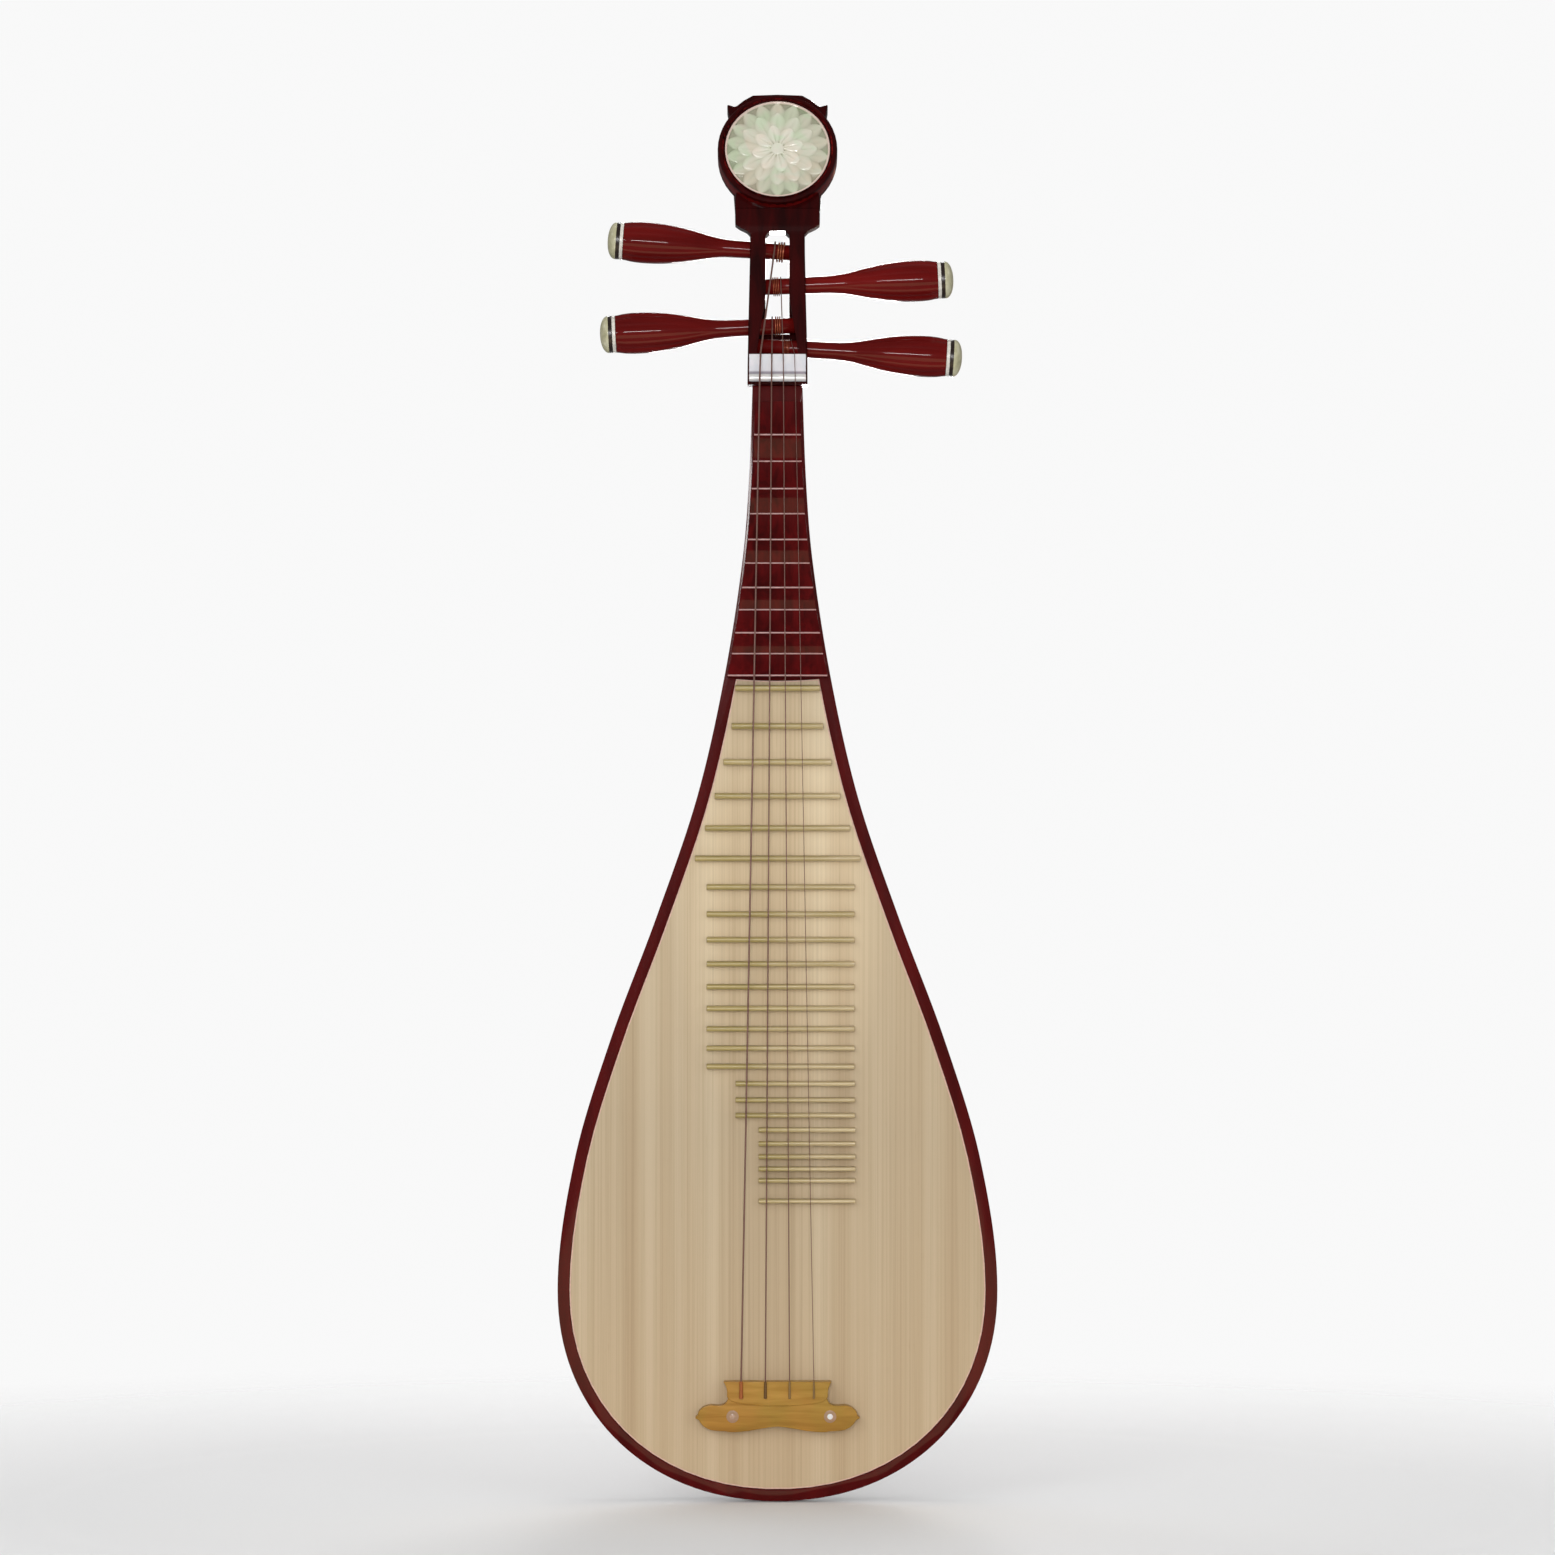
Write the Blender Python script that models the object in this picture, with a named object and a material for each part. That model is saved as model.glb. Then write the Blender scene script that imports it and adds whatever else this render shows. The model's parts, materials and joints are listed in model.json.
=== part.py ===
# Chinese lute (pipa) as an assembly of its real pieces, in metres, with +Z up along the neck.
# The soundboard looks along -Y, and the origin is the lowest point of the tail, in the plane of
# the soundboard's face.

import math

import bmesh
import bpy
from mathutils import Vector

# Clearances, how far cutters reach past a face or right through, and mesh counts
GAP = 0.0003
CUT_PAST = 0.002
CUT_THROUGH = 0.1
PEG_SIDES = 32
ROUND_SIDES = 48

# Body and neck
STRING_LENGTH = 0.7142
BRIDGE_HEIGHT = 0.0862
NUT_TO_NECK_END = 0.0049
BODY_WIDTH = 0.3136
WIDEST_HEIGHT = 0.1504
NECK_WIDTH = 0.0356
BODY_DEPTH = 0.052
DEEPEST_HEIGHT = 0.215
NECK_DEPTH = 0.027
RIM_SIDE = 0.008
BODY_WALL = 0.007
TAIL_ROUNDNESS = 2.12
TAIL_FLAT = 0.012
# Share of the way from the widest point to the neck's end, and share of the extra width left
BELLY_CURVE = (
    (0.0, 1.0),
    (0.144, 0.913),
    (0.277, 0.728),
    (0.41, 0.497),
    (0.543, 0.287),
    (0.676, 0.146),
    (0.808, 0.051),
    (0.897, 0.018),
    (1.0, 0.0),
)

# Soundboard and what stiffens it inside
RIM_WIDTH = 0.0085
BOARD_THICKNESS = 0.0045
BOARD_LEDGE = 0.005
BOARD_TOP_DIP = 0.0012
BOARD_BELOW_LAST_CREST = 0.0025
HOLLOW_TOP_MARGIN = 0.022
SOUND_HOLE_RADIUS = 0.005
BAR_HEIGHTS = (0.2, 0.4)
BAR_WIDTH = 0.008
BAR_DEPTH = 0.012
POST_RADIUS = 0.004
POST_PLACES = {
    "sound_post_left": (-0.045, 0.14),
    "sound_post_right": (0.045, 0.14),
    "sound_post_upper": (0.0, 0.3),
}

# Fixed frets on the neck, each crest a semitone's step nearer the bridge
NECK_FRETS = 6
NECK_FRET_STEP = 0.943
NECK_FRET_CREST = 0.0105
NECK_FRET_VALLEY = 0.003
NECK_FRET_CREST_WIDTH = 0.0018
NECK_FRET_CREST_ROUND = 0.0004
NECK_FRET_CHAMFER = 0.0006
NECK_FRET_MARGIN = 0.0018
NECK_FRET_FIRST_VALLEY = 0.4
NECK_FRET_VALLEY_SHARE = 0.48

# Bamboo frets on the soundboard
BOARD_FRETS = 24
FIRST_FRET_SHARE = 0.6906
BOARD_FRET_STEP = 0.94513
LAST_FRET_SHARE = 0.1791
FRET_HEIGHTS = (0.0098, 0.008)
FRET_WIDTHS = (0.0046, 0.0034)
FIRST_FRET_MARGIN = 0.0006
UPPER_FRET_MARGIN = 0.0036
UPPER_FRETS = 6
# Last fret of each run, and its reach to the left and to the right
LOWER_FRET_RUNS = (
    (15, 0.0505, 0.0549),
    (18, 0.0299, 0.0552),
    (24, 0.0135, 0.0555),
)

# Bridge
BRIDGE_THICKNESS = 0.0135
BRIDGE_TOP_HALF = 0.0377
BRIDGE_WAIST_HALF = 0.0352
BRIDGE_WING_HALF = 0.0592
BRIDGE_BLOCK_LENGTH = 0.0155
BRIDGE_WING_LENGTH = 0.0205
BRIDGE_WING_THIN = 0.6
BRIDGE_BEVEL = 0.0012
BRIDGE_HOLE_DROP = 0.012
BRIDGE_HOLE_DEPTH = 0.0075
BRIDGE_CHAMBER_HALF_WIDTH = 0.024
BRIDGE_CHAMBER_HALF_HEIGHT = 0.007
BRIDGE_CHAMBER_DEPTH = 0.004

# Strings from the thickest at the left to the thinnest at the right
STRING_DIAMETERS = (0.0013, 0.001, 0.00075, 0.0005)
BRIDGE_SPACING = 0.01725
NUT_SPACING = 0.0084
STRING_TUCK = 0.004

# Nut
NUT_WIDTH = 0.0404
NUT_BELOW_CREST = 0.0029
NUT_ABOVE_CREST = 0.0171
NUT_CREST = 0.005
NUT_PLATE = 0.002
NUT_CREST_BAND = 0.0042

# Pegbox, bent back from the neck
PEGBOX_FRONT = 0.008
PEGBOX_SLOPE = 0.25
PEGBOX_HALF_WIDTH = 0.0214
PEGBOX_TOP_HALF_WIDTH = 0.0196
PEGBOX_HEIGHT = 0.109
PEGBOX_TOP_DEPTH = 0.030
PEGBOX_FRONT_ROUND = 0.0015
PEGBOX_BACK_ROUND = 0.006
WINDOW_HALF_WIDTH = 0.0084
WINDOW_CORNER = 0.003
WINDOW_SILL = 0.0077
WINDOW_IN_COLLAR = 0.0025
FLARE_HALF_WIDTH = 0.0146
FLARE_STRAIGHT = 0.006
FLARE_LENGTH = 0.0465
FLARE_BEHIND_WINDING = 0.0017
FLARE_UNDER_WINDING = 0.001
COLLAR_HALF_WIDTH = 0.0303
COLLAR_RISE = 0.0075
COLLAR_FRONT = 0.001

# Plate of bone over the joint of neck and pegbox
PLATE_TOP = 0.0298
PLATE_BOTTOM = 0.0287
PLATE_THICKNESS = 0.004
PLATE_PROUD = 0.0005
PLATE_EDGE_DEG = 28
PLATE_CORNER = 0.006
PLATE_TOP_SHARE = 0.9
PLATE_CORNER_CUT = 0.14
PLATE_SQUARENESS = 1.8
PLATE_END_LEAN = 0.35

# Head, its middle above the neck's end and behind the soundboard's face
HEAD_RISE = 0.1672
HEAD_SETBACK = 0.044
HEAD_TILT = math.radians(20)
DRUM_RADIUS = 0.043
DRUM_FRONT = 0.014
DRUM_BACK = 0.010
DISC_RADIUS = 0.0376
DISC_THICKNESS = 0.0034
DISC_SUNK = 0.0012
DISC_RELIEF = 0.0016
DISC_RIM_SHARE = 0.35
SHIELD_FRONT = 0.008
SHIELD_BACK = 0.025
SHIELD_BEVEL = 0.0016
SADDLE_FRONT = 0.006
SADDLE_HEIGHT = 0.018
SADDLE_LAP = 0.004
SADDLE_PROUD = 0.0002
SADDLE_DRAW_IN = 0.003
HEAD_JOINT_DROP = 0.0438
# Half of the shield's outline: across, and up from the middle of the head
SHIELD_OUTLINE = (
    (0.0303, -0.0438),
    (0.0322, -0.012),
    (0.0322, 0.0),
    (0.0332, 0.02),
    (0.0348, 0.0345),
    (0.0366, 0.0462),
    (0.0305, 0.0440),
    (0.0245, 0.0492),
    (0.0180, 0.0532),
    (0.0, 0.0539),
)
PETALS = 12

# Pegs: side, height above the neck's end, upward tilt in degrees, reach, place of the winding
PEG_SHAFT = 0.006
PEG_SHAFT_END = 0.0054
PEG_FIT = 0.00036
PEG_DEPTH = 0.0105
PEG_FLUTES = 8
PEG_FLUTE_DEPTH = 0.045
PEG_CAP_LENGTH = 0.0114
PEG_CAP_RADIUS = 0.0132
PEG_CAP_CHAMFER = 0.0004
PEG_DOME = 0.0063
PEG_SHOULDER_CLEARANCE = 0.001
PEG_END_WALL = 0.003
PEGS = {
    "peg_1": {"side": -1, "rise": 0.0971, "tilt": 4.0, "reach": 0.122, "string": 0, "lay": -0.0021},
    "peg_2": {"side": 1, "rise": 0.0718, "tilt": 2.3, "reach": 0.126, "string": 2, "lay": 0.0025},
    "peg_3": {"side": -1, "rise": 0.0429, "tilt": -2.8, "reach": 0.127, "string": 1, "lay": -0.0035},
    "peg_4": {"side": 1, "rise": 0.0273, "tilt": -3.4, "reach": 0.132, "string": 3, "lay": 0.0095},
}
# Distance in from the handle's end, and radius there
PEG_HANDLE = (
    (0.0, 0.0132),
    (0.006, 0.0141),
    (0.014, 0.0146),
    (0.026, 0.0143),
    (0.038, 0.0130),
    (0.050, 0.0108),
    (0.061, 0.0084),
    (0.070, 0.0069),
    (0.079, 0.0062),
)
WINDING_TURNS = (3, 3, 4, 4)
WINDING_LOOP_POINTS = 24
WINDING_SPACE = 0.0005

NECK_END = BRIDGE_HEIGHT + STRING_LENGTH - NUT_TO_NECK_END
NUT_HEIGHT = BRIDGE_HEIGHT + STRING_LENGTH
HEAD_HEIGHT = NECK_END + HEAD_RISE
BOARD_TOP = BRIDGE_HEIGHT + STRING_LENGTH * NECK_FRET_STEP ** NECK_FRETS - BOARD_BELOW_LAST_CREST


def clear_scene():
    for old in list(bpy.data.objects):
        bpy.data.objects.remove(old, do_unlink=True)


def make_material(name, color, roughness, metallic=0.0):
    material = bpy.data.materials.new(name)
    material.use_nodes = True
    shader = material.node_tree.nodes["Principled BSDF"]
    shader.inputs["Base Color"].default_value = (*color, 1.0)
    shader.inputs["Roughness"].default_value = roughness
    shader.inputs["Metallic"].default_value = metallic
    return material


def smooth_step(share):
    share = min(max(share, 0.0), 1.0)
    return share * share * (3 - 2 * share)


def spread(first, last, count):
    return [first + (last - first) * i / (count - 1) for i in range(count)]


def curve_value(stations, place):
    """Value at a place on the smooth curve through (place, value) stations."""
    last = len(stations) - 1
    span = next((i for i in range(last) if place <= stations[i + 1][0]), last - 1)

    def slope(i):
        low = stations[max(i - 1, 0)]
        high = stations[min(i + 1, last)]
        return (high[1] - low[1]) / (high[0] - low[0])

    (x0, y0), (x1, y1) = stations[span], stations[span + 1]
    width = x1 - x0
    t = (place - x0) / width
    start = slope(span) if span else 0.0
    end = slope(span + 1)
    return (
        (2 * t ** 3 - 3 * t ** 2 + 1) * y0
        + (t ** 3 - 2 * t ** 2 + t) * width * start
        + (3 * t ** 2 - 2 * t ** 3) * y1
        + (t ** 3 - t ** 2) * width * end
    )


# Outline of the body, seen from the front

def half_width(height):
    """Half the body's width at a height above the tail."""
    if height < WIDEST_HEIGHT:
        drop = (WIDEST_HEIGHT - height) / WIDEST_HEIGHT
        return BODY_WIDTH / 2 * max(1 - drop ** TAIL_ROUNDNESS, 0) ** (1 / TAIL_ROUNDNESS)
    share = min((height - WIDEST_HEIGHT) / (NECK_END - WIDEST_HEIGHT), 1.0)
    extra = BODY_WIDTH / 2 - NECK_WIDTH / 2
    return NECK_WIDTH / 2 + extra * curve_value(BELLY_CURVE, share)


def inset_half_width(height, inset):
    """Half the width of the outline drawn an inset inside the body's own."""
    if height < WIDEST_HEIGHT:
        reach = WIDEST_HEIGHT - inset
        drop = min((WIDEST_HEIGHT - height) / reach, 1.0)
        wide = BODY_WIDTH / 2 - inset
        return wide * (1 - drop ** TAIL_ROUNDNESS) ** (1 / TAIL_ROUNDNESS)
    step = 0.002
    lean = (half_width(height) - half_width(height + step)) / step
    return half_width(height) - inset * math.sqrt(1 + lean * lean)


def tail_heights(count, inset=0.0, flat=0.0):
    """Heights from near the tail up to the widest point, closer together at the tail."""
    reach = WIDEST_HEIGHT - inset
    start = math.acos(flat / (BODY_WIDTH / 2)) if flat else math.pi / 2
    angles = spread(start, 0.0, count)
    return [WIDEST_HEIGHT - reach * math.sin(angle) ** (2 / TAIL_ROUNDNESS) for angle in angles]


def body_depth(height):
    """Depth of the back's middle line behind the soundboard's face."""
    if height < DEEPEST_HEIGHT:
        drop = (DEEPEST_HEIGHT - height) / DEEPEST_HEIGHT
        return RIM_SIDE + (BODY_DEPTH - RIM_SIDE) * max(1 - drop ** 2.4, 0) ** (1 / 2.4)
    share = min((height - DEEPEST_HEIGHT) / (NECK_END - DEEPEST_HEIGHT), 1.0)
    return NECK_DEPTH + (BODY_DEPTH - NECK_DEPTH) * (1 + math.cos(math.pi * share)) / 2


def outline_points(inset, top, tail_count=17, side_count=24):
    """Closed outline of an inset body shape, cut off level at a top height."""
    right = [(inset_half_width(z, inset), z) for z in spread(top, WIDEST_HEIGHT, side_count)]
    reach = WIDEST_HEIGHT - inset
    wide = BODY_WIDTH / 2 - inset
    round_power = 2 / TAIL_ROUNDNESS
    tail = []
    for angle in spread(0.0, math.pi, tail_count * 2)[1:-1]:
        side = math.cos(angle)
        x = math.copysign(wide * abs(side) ** round_power, side)
        tail.append((x, WIDEST_HEIGHT - reach * math.sin(angle) ** round_power))
    left = [(-x, z) for x, z in reversed(right)]
    return right + tail + left


# Mesh tools

def add_object(name, builder, material, smooth=True):
    bmesh.ops.recalc_face_normals(builder, faces=builder.faces)
    mesh = bpy.data.meshes.new(name)
    builder.to_mesh(mesh)
    builder.free()
    if smooth:
        mesh.shade_smooth()
        mesh.set_sharp_from_angle(angle=math.radians(35))
    piece = bpy.data.objects.new(name, mesh)
    bpy.context.scene.collection.objects.link(piece)
    if material:
        mesh.materials.append(material)
    return piece


def loft(name, rings, material):
    """Skin over rings that all have the same number of points, closed at both ends."""
    builder = bmesh.new()
    made = [[builder.verts.new(point) for point in ring] for ring in rings]
    count = len(rings[0])
    for low, high in zip(made, made[1:]):
        for i in range(count):
            builder.faces.new((low[i], low[(i + 1) % count], high[(i + 1) % count], high[i]))
    builder.faces.new(list(reversed(made[0])))
    builder.faces.new(made[-1])
    return add_object(name, builder, material)


def extrude_outline(name, points, direction, material, smooth=False):
    """Solid swept from a closed outline of 3-D points along a direction."""
    builder = bmesh.new()
    face = builder.faces.new([builder.verts.new(point) for point in points])
    swept = bmesh.ops.extrude_face_region(builder, geom=[face])
    moved = [item for item in swept["geom"] if isinstance(item, bmesh.types.BMVert)]
    bmesh.ops.translate(builder, verts=moved, vec=direction)
    return add_object(name, builder, material, smooth)


def turned(name, profile, sides, material, radius_at=None):
    """Solid turned about local X from (along, radius) stations, closed by its end points."""
    builder = bmesh.new()
    rings = []
    for along, radius in profile:
        ring = []
        for i in range(sides):
            angle = 2 * math.pi * i / sides
            reach = radius_at(along, radius, angle) if radius_at else radius
            ring.append(builder.verts.new((along, -reach * math.cos(angle), reach * math.sin(angle))))
        rings.append(ring)
    for low, high in zip(rings, rings[1:]):
        for i in range(sides):
            builder.faces.new((low[i], low[(i + 1) % sides], high[(i + 1) % sides], high[i]))
    builder.faces.new(list(reversed(rings[0])))
    builder.faces.new(rings[-1])
    return add_object(name, builder, material)


def cut(piece, cutter, operation="DIFFERENCE"):
    cutter.hide_render = True
    cutter.display_type = "WIRE"
    boolean = piece.modifiers.new(cutter.name, "BOOLEAN")
    boolean.solver = "EXACT"
    boolean.operation = operation
    boolean.object = cutter


def add_bevel(piece, width, segments=2, angle=40):
    bevel = piece.modifiers.new("edge_round", "BEVEL")
    bevel.width = width
    bevel.segments = segments
    bevel.limit_method = "ANGLE"
    bevel.angle_limit = math.radians(angle)


def round_string(name, points, diameter, material):
    curve = bpy.data.curves.new(name, "CURVE")
    curve.dimensions = "3D"
    curve.bevel_depth = diameter / 2
    curve.bevel_resolution = 1
    curve.use_fill_caps = True
    spline = curve.splines.new("POLY")
    spline.points.add(len(points) - 1)
    for place, point in zip(spline.points, points):
        place.co = (*point, 1.0)
    piece = bpy.data.objects.new(name, curve)
    bpy.context.scene.collection.objects.link(piece)
    curve.materials.append(material)
    return piece


# Back of the body, carved in one with the neck

def body_ring(height, wide, depth, side, arc_steps):
    ring = [(wide, 0.0, height)]
    for angle in spread(0.0, math.pi, arc_steps):
        across = wide * math.cos(angle)
        ring.append((across, side + (depth - side) * math.sin(angle), height))
    ring.append((-wide, 0.0, height))
    return ring


def make_back(material):
    heights = tail_heights(13, flat=TAIL_FLAT) + spread(WIDEST_HEIGHT, NECK_END - GAP, 22)[1:]
    heights[0] = 0.0
    rings = []
    for height in heights:
        wide = max(half_width(height), TAIL_FLAT / 2)
        rings.append(body_ring(height, wide, body_depth(height), min(RIM_SIDE, wide), 19))
    back = loft("back_shell", rings, material)

    inset = RIM_WIDTH + BOARD_LEDGE
    top = BOARD_TOP - HOLLOW_TOP_MARGIN
    low = tail_heights(9, inset, flat=0.03) + spread(WIDEST_HEIGHT, top, 14)[1:]
    hollow_rings = []
    for height in low:
        wide = inset_half_width(height, inset)
        depth = body_depth(height) - BODY_WALL
        ring = body_ring(height, wide, depth, RIM_SIDE, 13)
        ring[0] = (wide, -CUT_PAST, height)
        ring[-1] = (-wide, -CUT_PAST, height)
        hollow_rings.append(ring)
    cut(back, loft("hollow_cutter", hollow_rings, None))

    recess = [(x, -CUT_PAST, z) for x, z in board_outline(RIM_WIDTH - GAP, BOARD_TOP + GAP)]
    depth = CUT_PAST + BOARD_THICKNESS + GAP
    cut(back, extrude_outline("board_cutter", recess, (0, depth, 0), None))
    return back


def board_outline(inset, top):
    outline = outline_points(inset, top)
    half_top = outline[0][0]
    dip = [(x, top - BOARD_TOP_DIP * (1 - (x / half_top) ** 2)) for x in spread(-half_top, half_top, 7)]
    return outline + dip[1:-1]


def make_soundboard(material):
    outline = [(x, 0.0, z) for x, z in board_outline(RIM_WIDTH, BOARD_TOP)]
    board = extrude_outline("soundboard", outline, (0, BOARD_THICKNESS, 0), material)
    through = ((-CUT_PAST, SOUND_HOLE_RADIUS), (BOARD_THICKNESS + CUT_PAST, SOUND_HOLE_RADIUS))
    hole = turned("sound_hole_cutter", through, 24, None)
    hole.rotation_euler = (0, 0, math.radians(90))
    hole.location = (0, 0, BRIDGE_HEIGHT - BRIDGE_BLOCK_LENGTH)
    cut(board, hole)


def inner_half_width(height):
    return inset_half_width(height, RIM_WIDTH + BOARD_LEDGE)


def make_bars(material):
    front = BOARD_THICKNESS + GAP
    for name, height in zip(("soundboard_bar_lower", "soundboard_bar_upper"), BAR_HEIGHTS):
        low = height - BAR_WIDTH / 2
        high = height + BAR_WIDTH / 2
        half = min(inner_half_width(low), inner_half_width(high)) - 3 * GAP
        outline = [
            (-half, front, low),
            (half, front, low),
            (half, front + BAR_DEPTH * 0.35, low),
            (half * 0.86, front + BAR_DEPTH, low),
            (-half * 0.86, front + BAR_DEPTH, low),
            (-half, front + BAR_DEPTH * 0.35, low),
        ]
        bar = extrude_outline(name, outline, (0, 0, BAR_WIDTH), material)
        add_bevel(bar, 0.0008, 1)


def hollow_floor(across, height):
    """Depth of the inside of the back at a point."""
    wide = inner_half_width(height)
    depth = body_depth(height) - BODY_WALL
    return RIM_SIDE + (depth - RIM_SIDE) * math.sqrt(max(1 - (across / wide) ** 2, 0))


def make_posts(material):
    front = BOARD_THICKNESS + GAP
    facet_sag = 0.0006
    edges = (-POST_RADIUS, POST_RADIUS)
    for name, (across, height) in POST_PLACES.items():
        end = min(hollow_floor(across + x, height + z) for x in edges for z in edges) - facet_sag
        profile = ((0.0, POST_RADIUS), (end - front, POST_RADIUS))
        post = turned(name, profile, 16, material)
        post.rotation_euler = (0, 0, math.radians(90))
        post.location = (across, front, height)


# Frets

def neck_fret_places():
    """Upper edge, crest and lower edge of each fret on the neck."""
    crests = [BRIDGE_HEIGHT + STRING_LENGTH * NECK_FRET_STEP ** (i + 1) for i in range(NECK_FRETS)]
    above = [NUT_HEIGHT] + crests[:-1]
    shares = [NECK_FRET_FIRST_VALLEY] + [NECK_FRET_VALLEY_SHARE] * (NECK_FRETS - 1)
    valleys = [high - (high - crest) * share for high, crest, share in zip(above, crests, shares)]
    ends = valleys[1:] + [BOARD_TOP + GAP]
    return list(zip(valleys, crests, ends))


def make_neck_frets(material):
    for number, (upper, crest, lower) in enumerate(neck_fret_places(), 1):
        ridge = NECK_FRET_CREST_WIDTH / 2
        rise = NECK_FRET_CREST - NECK_FRET_VALLEY
        start = upper - GAP / 2
        end = lower + GAP / 2
        stations = [(start, NECK_FRET_VALLEY)]
        for share in (0.35, 0.7):
            front = NECK_FRET_VALLEY + rise * share ** 1.6
            stations.append((start + (crest + ridge - start) * share, front))
        stations.append((crest + ridge, NECK_FRET_CREST - NECK_FRET_CREST_ROUND))
        stations.append((crest + ridge * 0.4, NECK_FRET_CREST))
        stations.append((crest - ridge * 0.4, NECK_FRET_CREST))
        stations.append((crest - ridge, NECK_FRET_CREST - NECK_FRET_CREST_ROUND))
        if number < NECK_FRETS:
            for share in (0.7, 0.35):
                front = NECK_FRET_VALLEY + rise * share ** 1.6
                stations.append((end + (crest - ridge - end) * share, front))
            stations.append((end, NECK_FRET_VALLEY))
        rings = []
        for height, front in stations:
            wide = half_width(height) - NECK_FRET_MARGIN
            rings.append([
                (wide, -GAP, height),
                (wide, -front + NECK_FRET_CHAMFER, height),
                (wide - NECK_FRET_CHAMFER, -front, height),
                (-wide + NECK_FRET_CHAMFER, -front, height),
                (-wide, -front + NECK_FRET_CHAMFER, height),
                (-wide, -GAP, height),
            ])
        loft(f"neck_fret_{number}", rings, material)


def board_fret_height(number):
    if number == BOARD_FRETS:
        return BRIDGE_HEIGHT + STRING_LENGTH * LAST_FRET_SHARE
    return BRIDGE_HEIGHT + STRING_LENGTH * FIRST_FRET_SHARE * BOARD_FRET_STEP ** (number - 1)


def board_fret_reach(number, height):
    """How far a bamboo fret reaches to the left and to the right of the middle."""
    if number <= UPPER_FRETS:
        margin = FIRST_FRET_MARGIN if number == 1 else UPPER_FRET_MARGIN
        half = inset_half_width(height, RIM_WIDTH) - margin
        return half, half
    return next((left, right) for last, left, right in LOWER_FRET_RUNS if number <= last)


def make_board_frets(material):
    for number in range(1, BOARD_FRETS + 1):
        share = (number - 1) / (BOARD_FRETS - 1)
        tall = FRET_HEIGHTS[0] + (FRET_HEIGHTS[1] - FRET_HEIGHTS[0]) * share
        half = (FRET_WIDTHS[0] + (FRET_WIDTHS[1] - FRET_WIDTHS[0]) * share) / 2
        height = board_fret_height(number)
        left, right = board_fret_reach(number, height)
        outline = [
            (-left, -GAP, height - half),
            (-left, -tall * 0.7, height - half),
            (-left, -tall + half * 0.35, height - half * 0.75),
            (-left, -tall, height - half * 0.3),
            (-left, -tall, height + half * 0.3),
            (-left, -tall + half * 0.35, height + half * 0.75),
            (-left, -tall * 0.7, height + half),
            (-left, -GAP, height + half),
        ]
        extrude_outline(f"board_fret_{number:02d}", outline, (left + right, 0, 0), material)


# Bridge

def bridge_outline():
    """Bridge from its upper edge round the right wing to the scalloped lower edge."""
    top = BRIDGE_HEIGHT
    neck = top - BRIDGE_BLOCK_LENGTH
    bottom = neck - BRIDGE_WING_LENGTH
    wing = BRIDGE_WING_HALF
    right = [
        (BRIDGE_TOP_HALF, top),
        (BRIDGE_TOP_HALF * 0.965, top - BRIDGE_BLOCK_LENGTH * 0.35),
        (BRIDGE_WAIST_HALF, neck + BRIDGE_BLOCK_LENGTH * 0.1),
        (BRIDGE_WAIST_HALF + 0.004, neck - 0.0012),
        (wing * 0.82, neck - 0.0010),
        (wing * 0.915, neck - 0.0035),
        (wing * 0.935, neck - 0.0065),
        (wing, neck - 0.0098),
        (wing * 0.965, neck - 0.0128),
        (wing * 0.90, neck - 0.0150),
        (wing * 0.80, bottom + 0.0020),
        (wing * 0.66, bottom + 0.0008),
        (wing * 0.52, bottom),
        (wing * 0.38, bottom + 0.0012),
        (wing * 0.2, bottom + 0.0026),
    ]
    left = [(-x, z) for x, z in reversed(right)]
    return right + [(0.0, bottom + 0.0044)] + left


def make_bridge(material):
    outline = [(x, -GAP, z) for x, z in bridge_outline()]
    bridge = extrude_outline("bridge", outline, (0, GAP - BRIDGE_THICKNESS, 0), material)
    for vertex in bridge.data.vertices:
        if vertex.co.y < -2 * GAP:
            out = (abs(vertex.co.x) - BRIDGE_WAIST_HALF) / (BRIDGE_WING_HALF - BRIDGE_WAIST_HALF)
            vertex.co.y *= 1 - (1 - BRIDGE_WING_THIN) * smooth_step(out)
    add_bevel(bridge, BRIDGE_BEVEL, 2, 50)
    hole_height = BRIDGE_HEIGHT - BRIDGE_HOLE_DROP
    for number, diameter in enumerate(STRING_DIAMETERS):
        radius = diameter / 2 + 2 * GAP
        profile = ((BRIDGE_THICKNESS - BRIDGE_HOLE_DEPTH, radius), (BRIDGE_THICKNESS + CUT_PAST, radius))
        hole = turned(f"string_hole_cutter_{number}", profile, 16, None)
        hole.rotation_euler = (0, 0, math.radians(-90))
        hole.location = (string_across(number, BRIDGE_SPACING), 0, hole_height)
        cut(bridge, hole)
    middle = BRIDGE_HEIGHT - BRIDGE_BLOCK_LENGTH
    chamber = []
    for angle in spread(0.0, 2 * math.pi, 13)[:-1]:
        across = BRIDGE_CHAMBER_HALF_WIDTH * math.cos(angle)
        chamber.append((across, CUT_PAST, middle + BRIDGE_CHAMBER_HALF_HEIGHT * math.sin(angle)))
    depth = CUT_PAST + BRIDGE_CHAMBER_DEPTH
    cut(bridge, extrude_outline("bridge_chamber_cutter", chamber, (0, -depth, 0), None))


# Pegbox

def pegbox_front(height):
    return -PEGBOX_FRONT + PEGBOX_SLOPE * max(height - NECK_END, 0.0)


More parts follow.
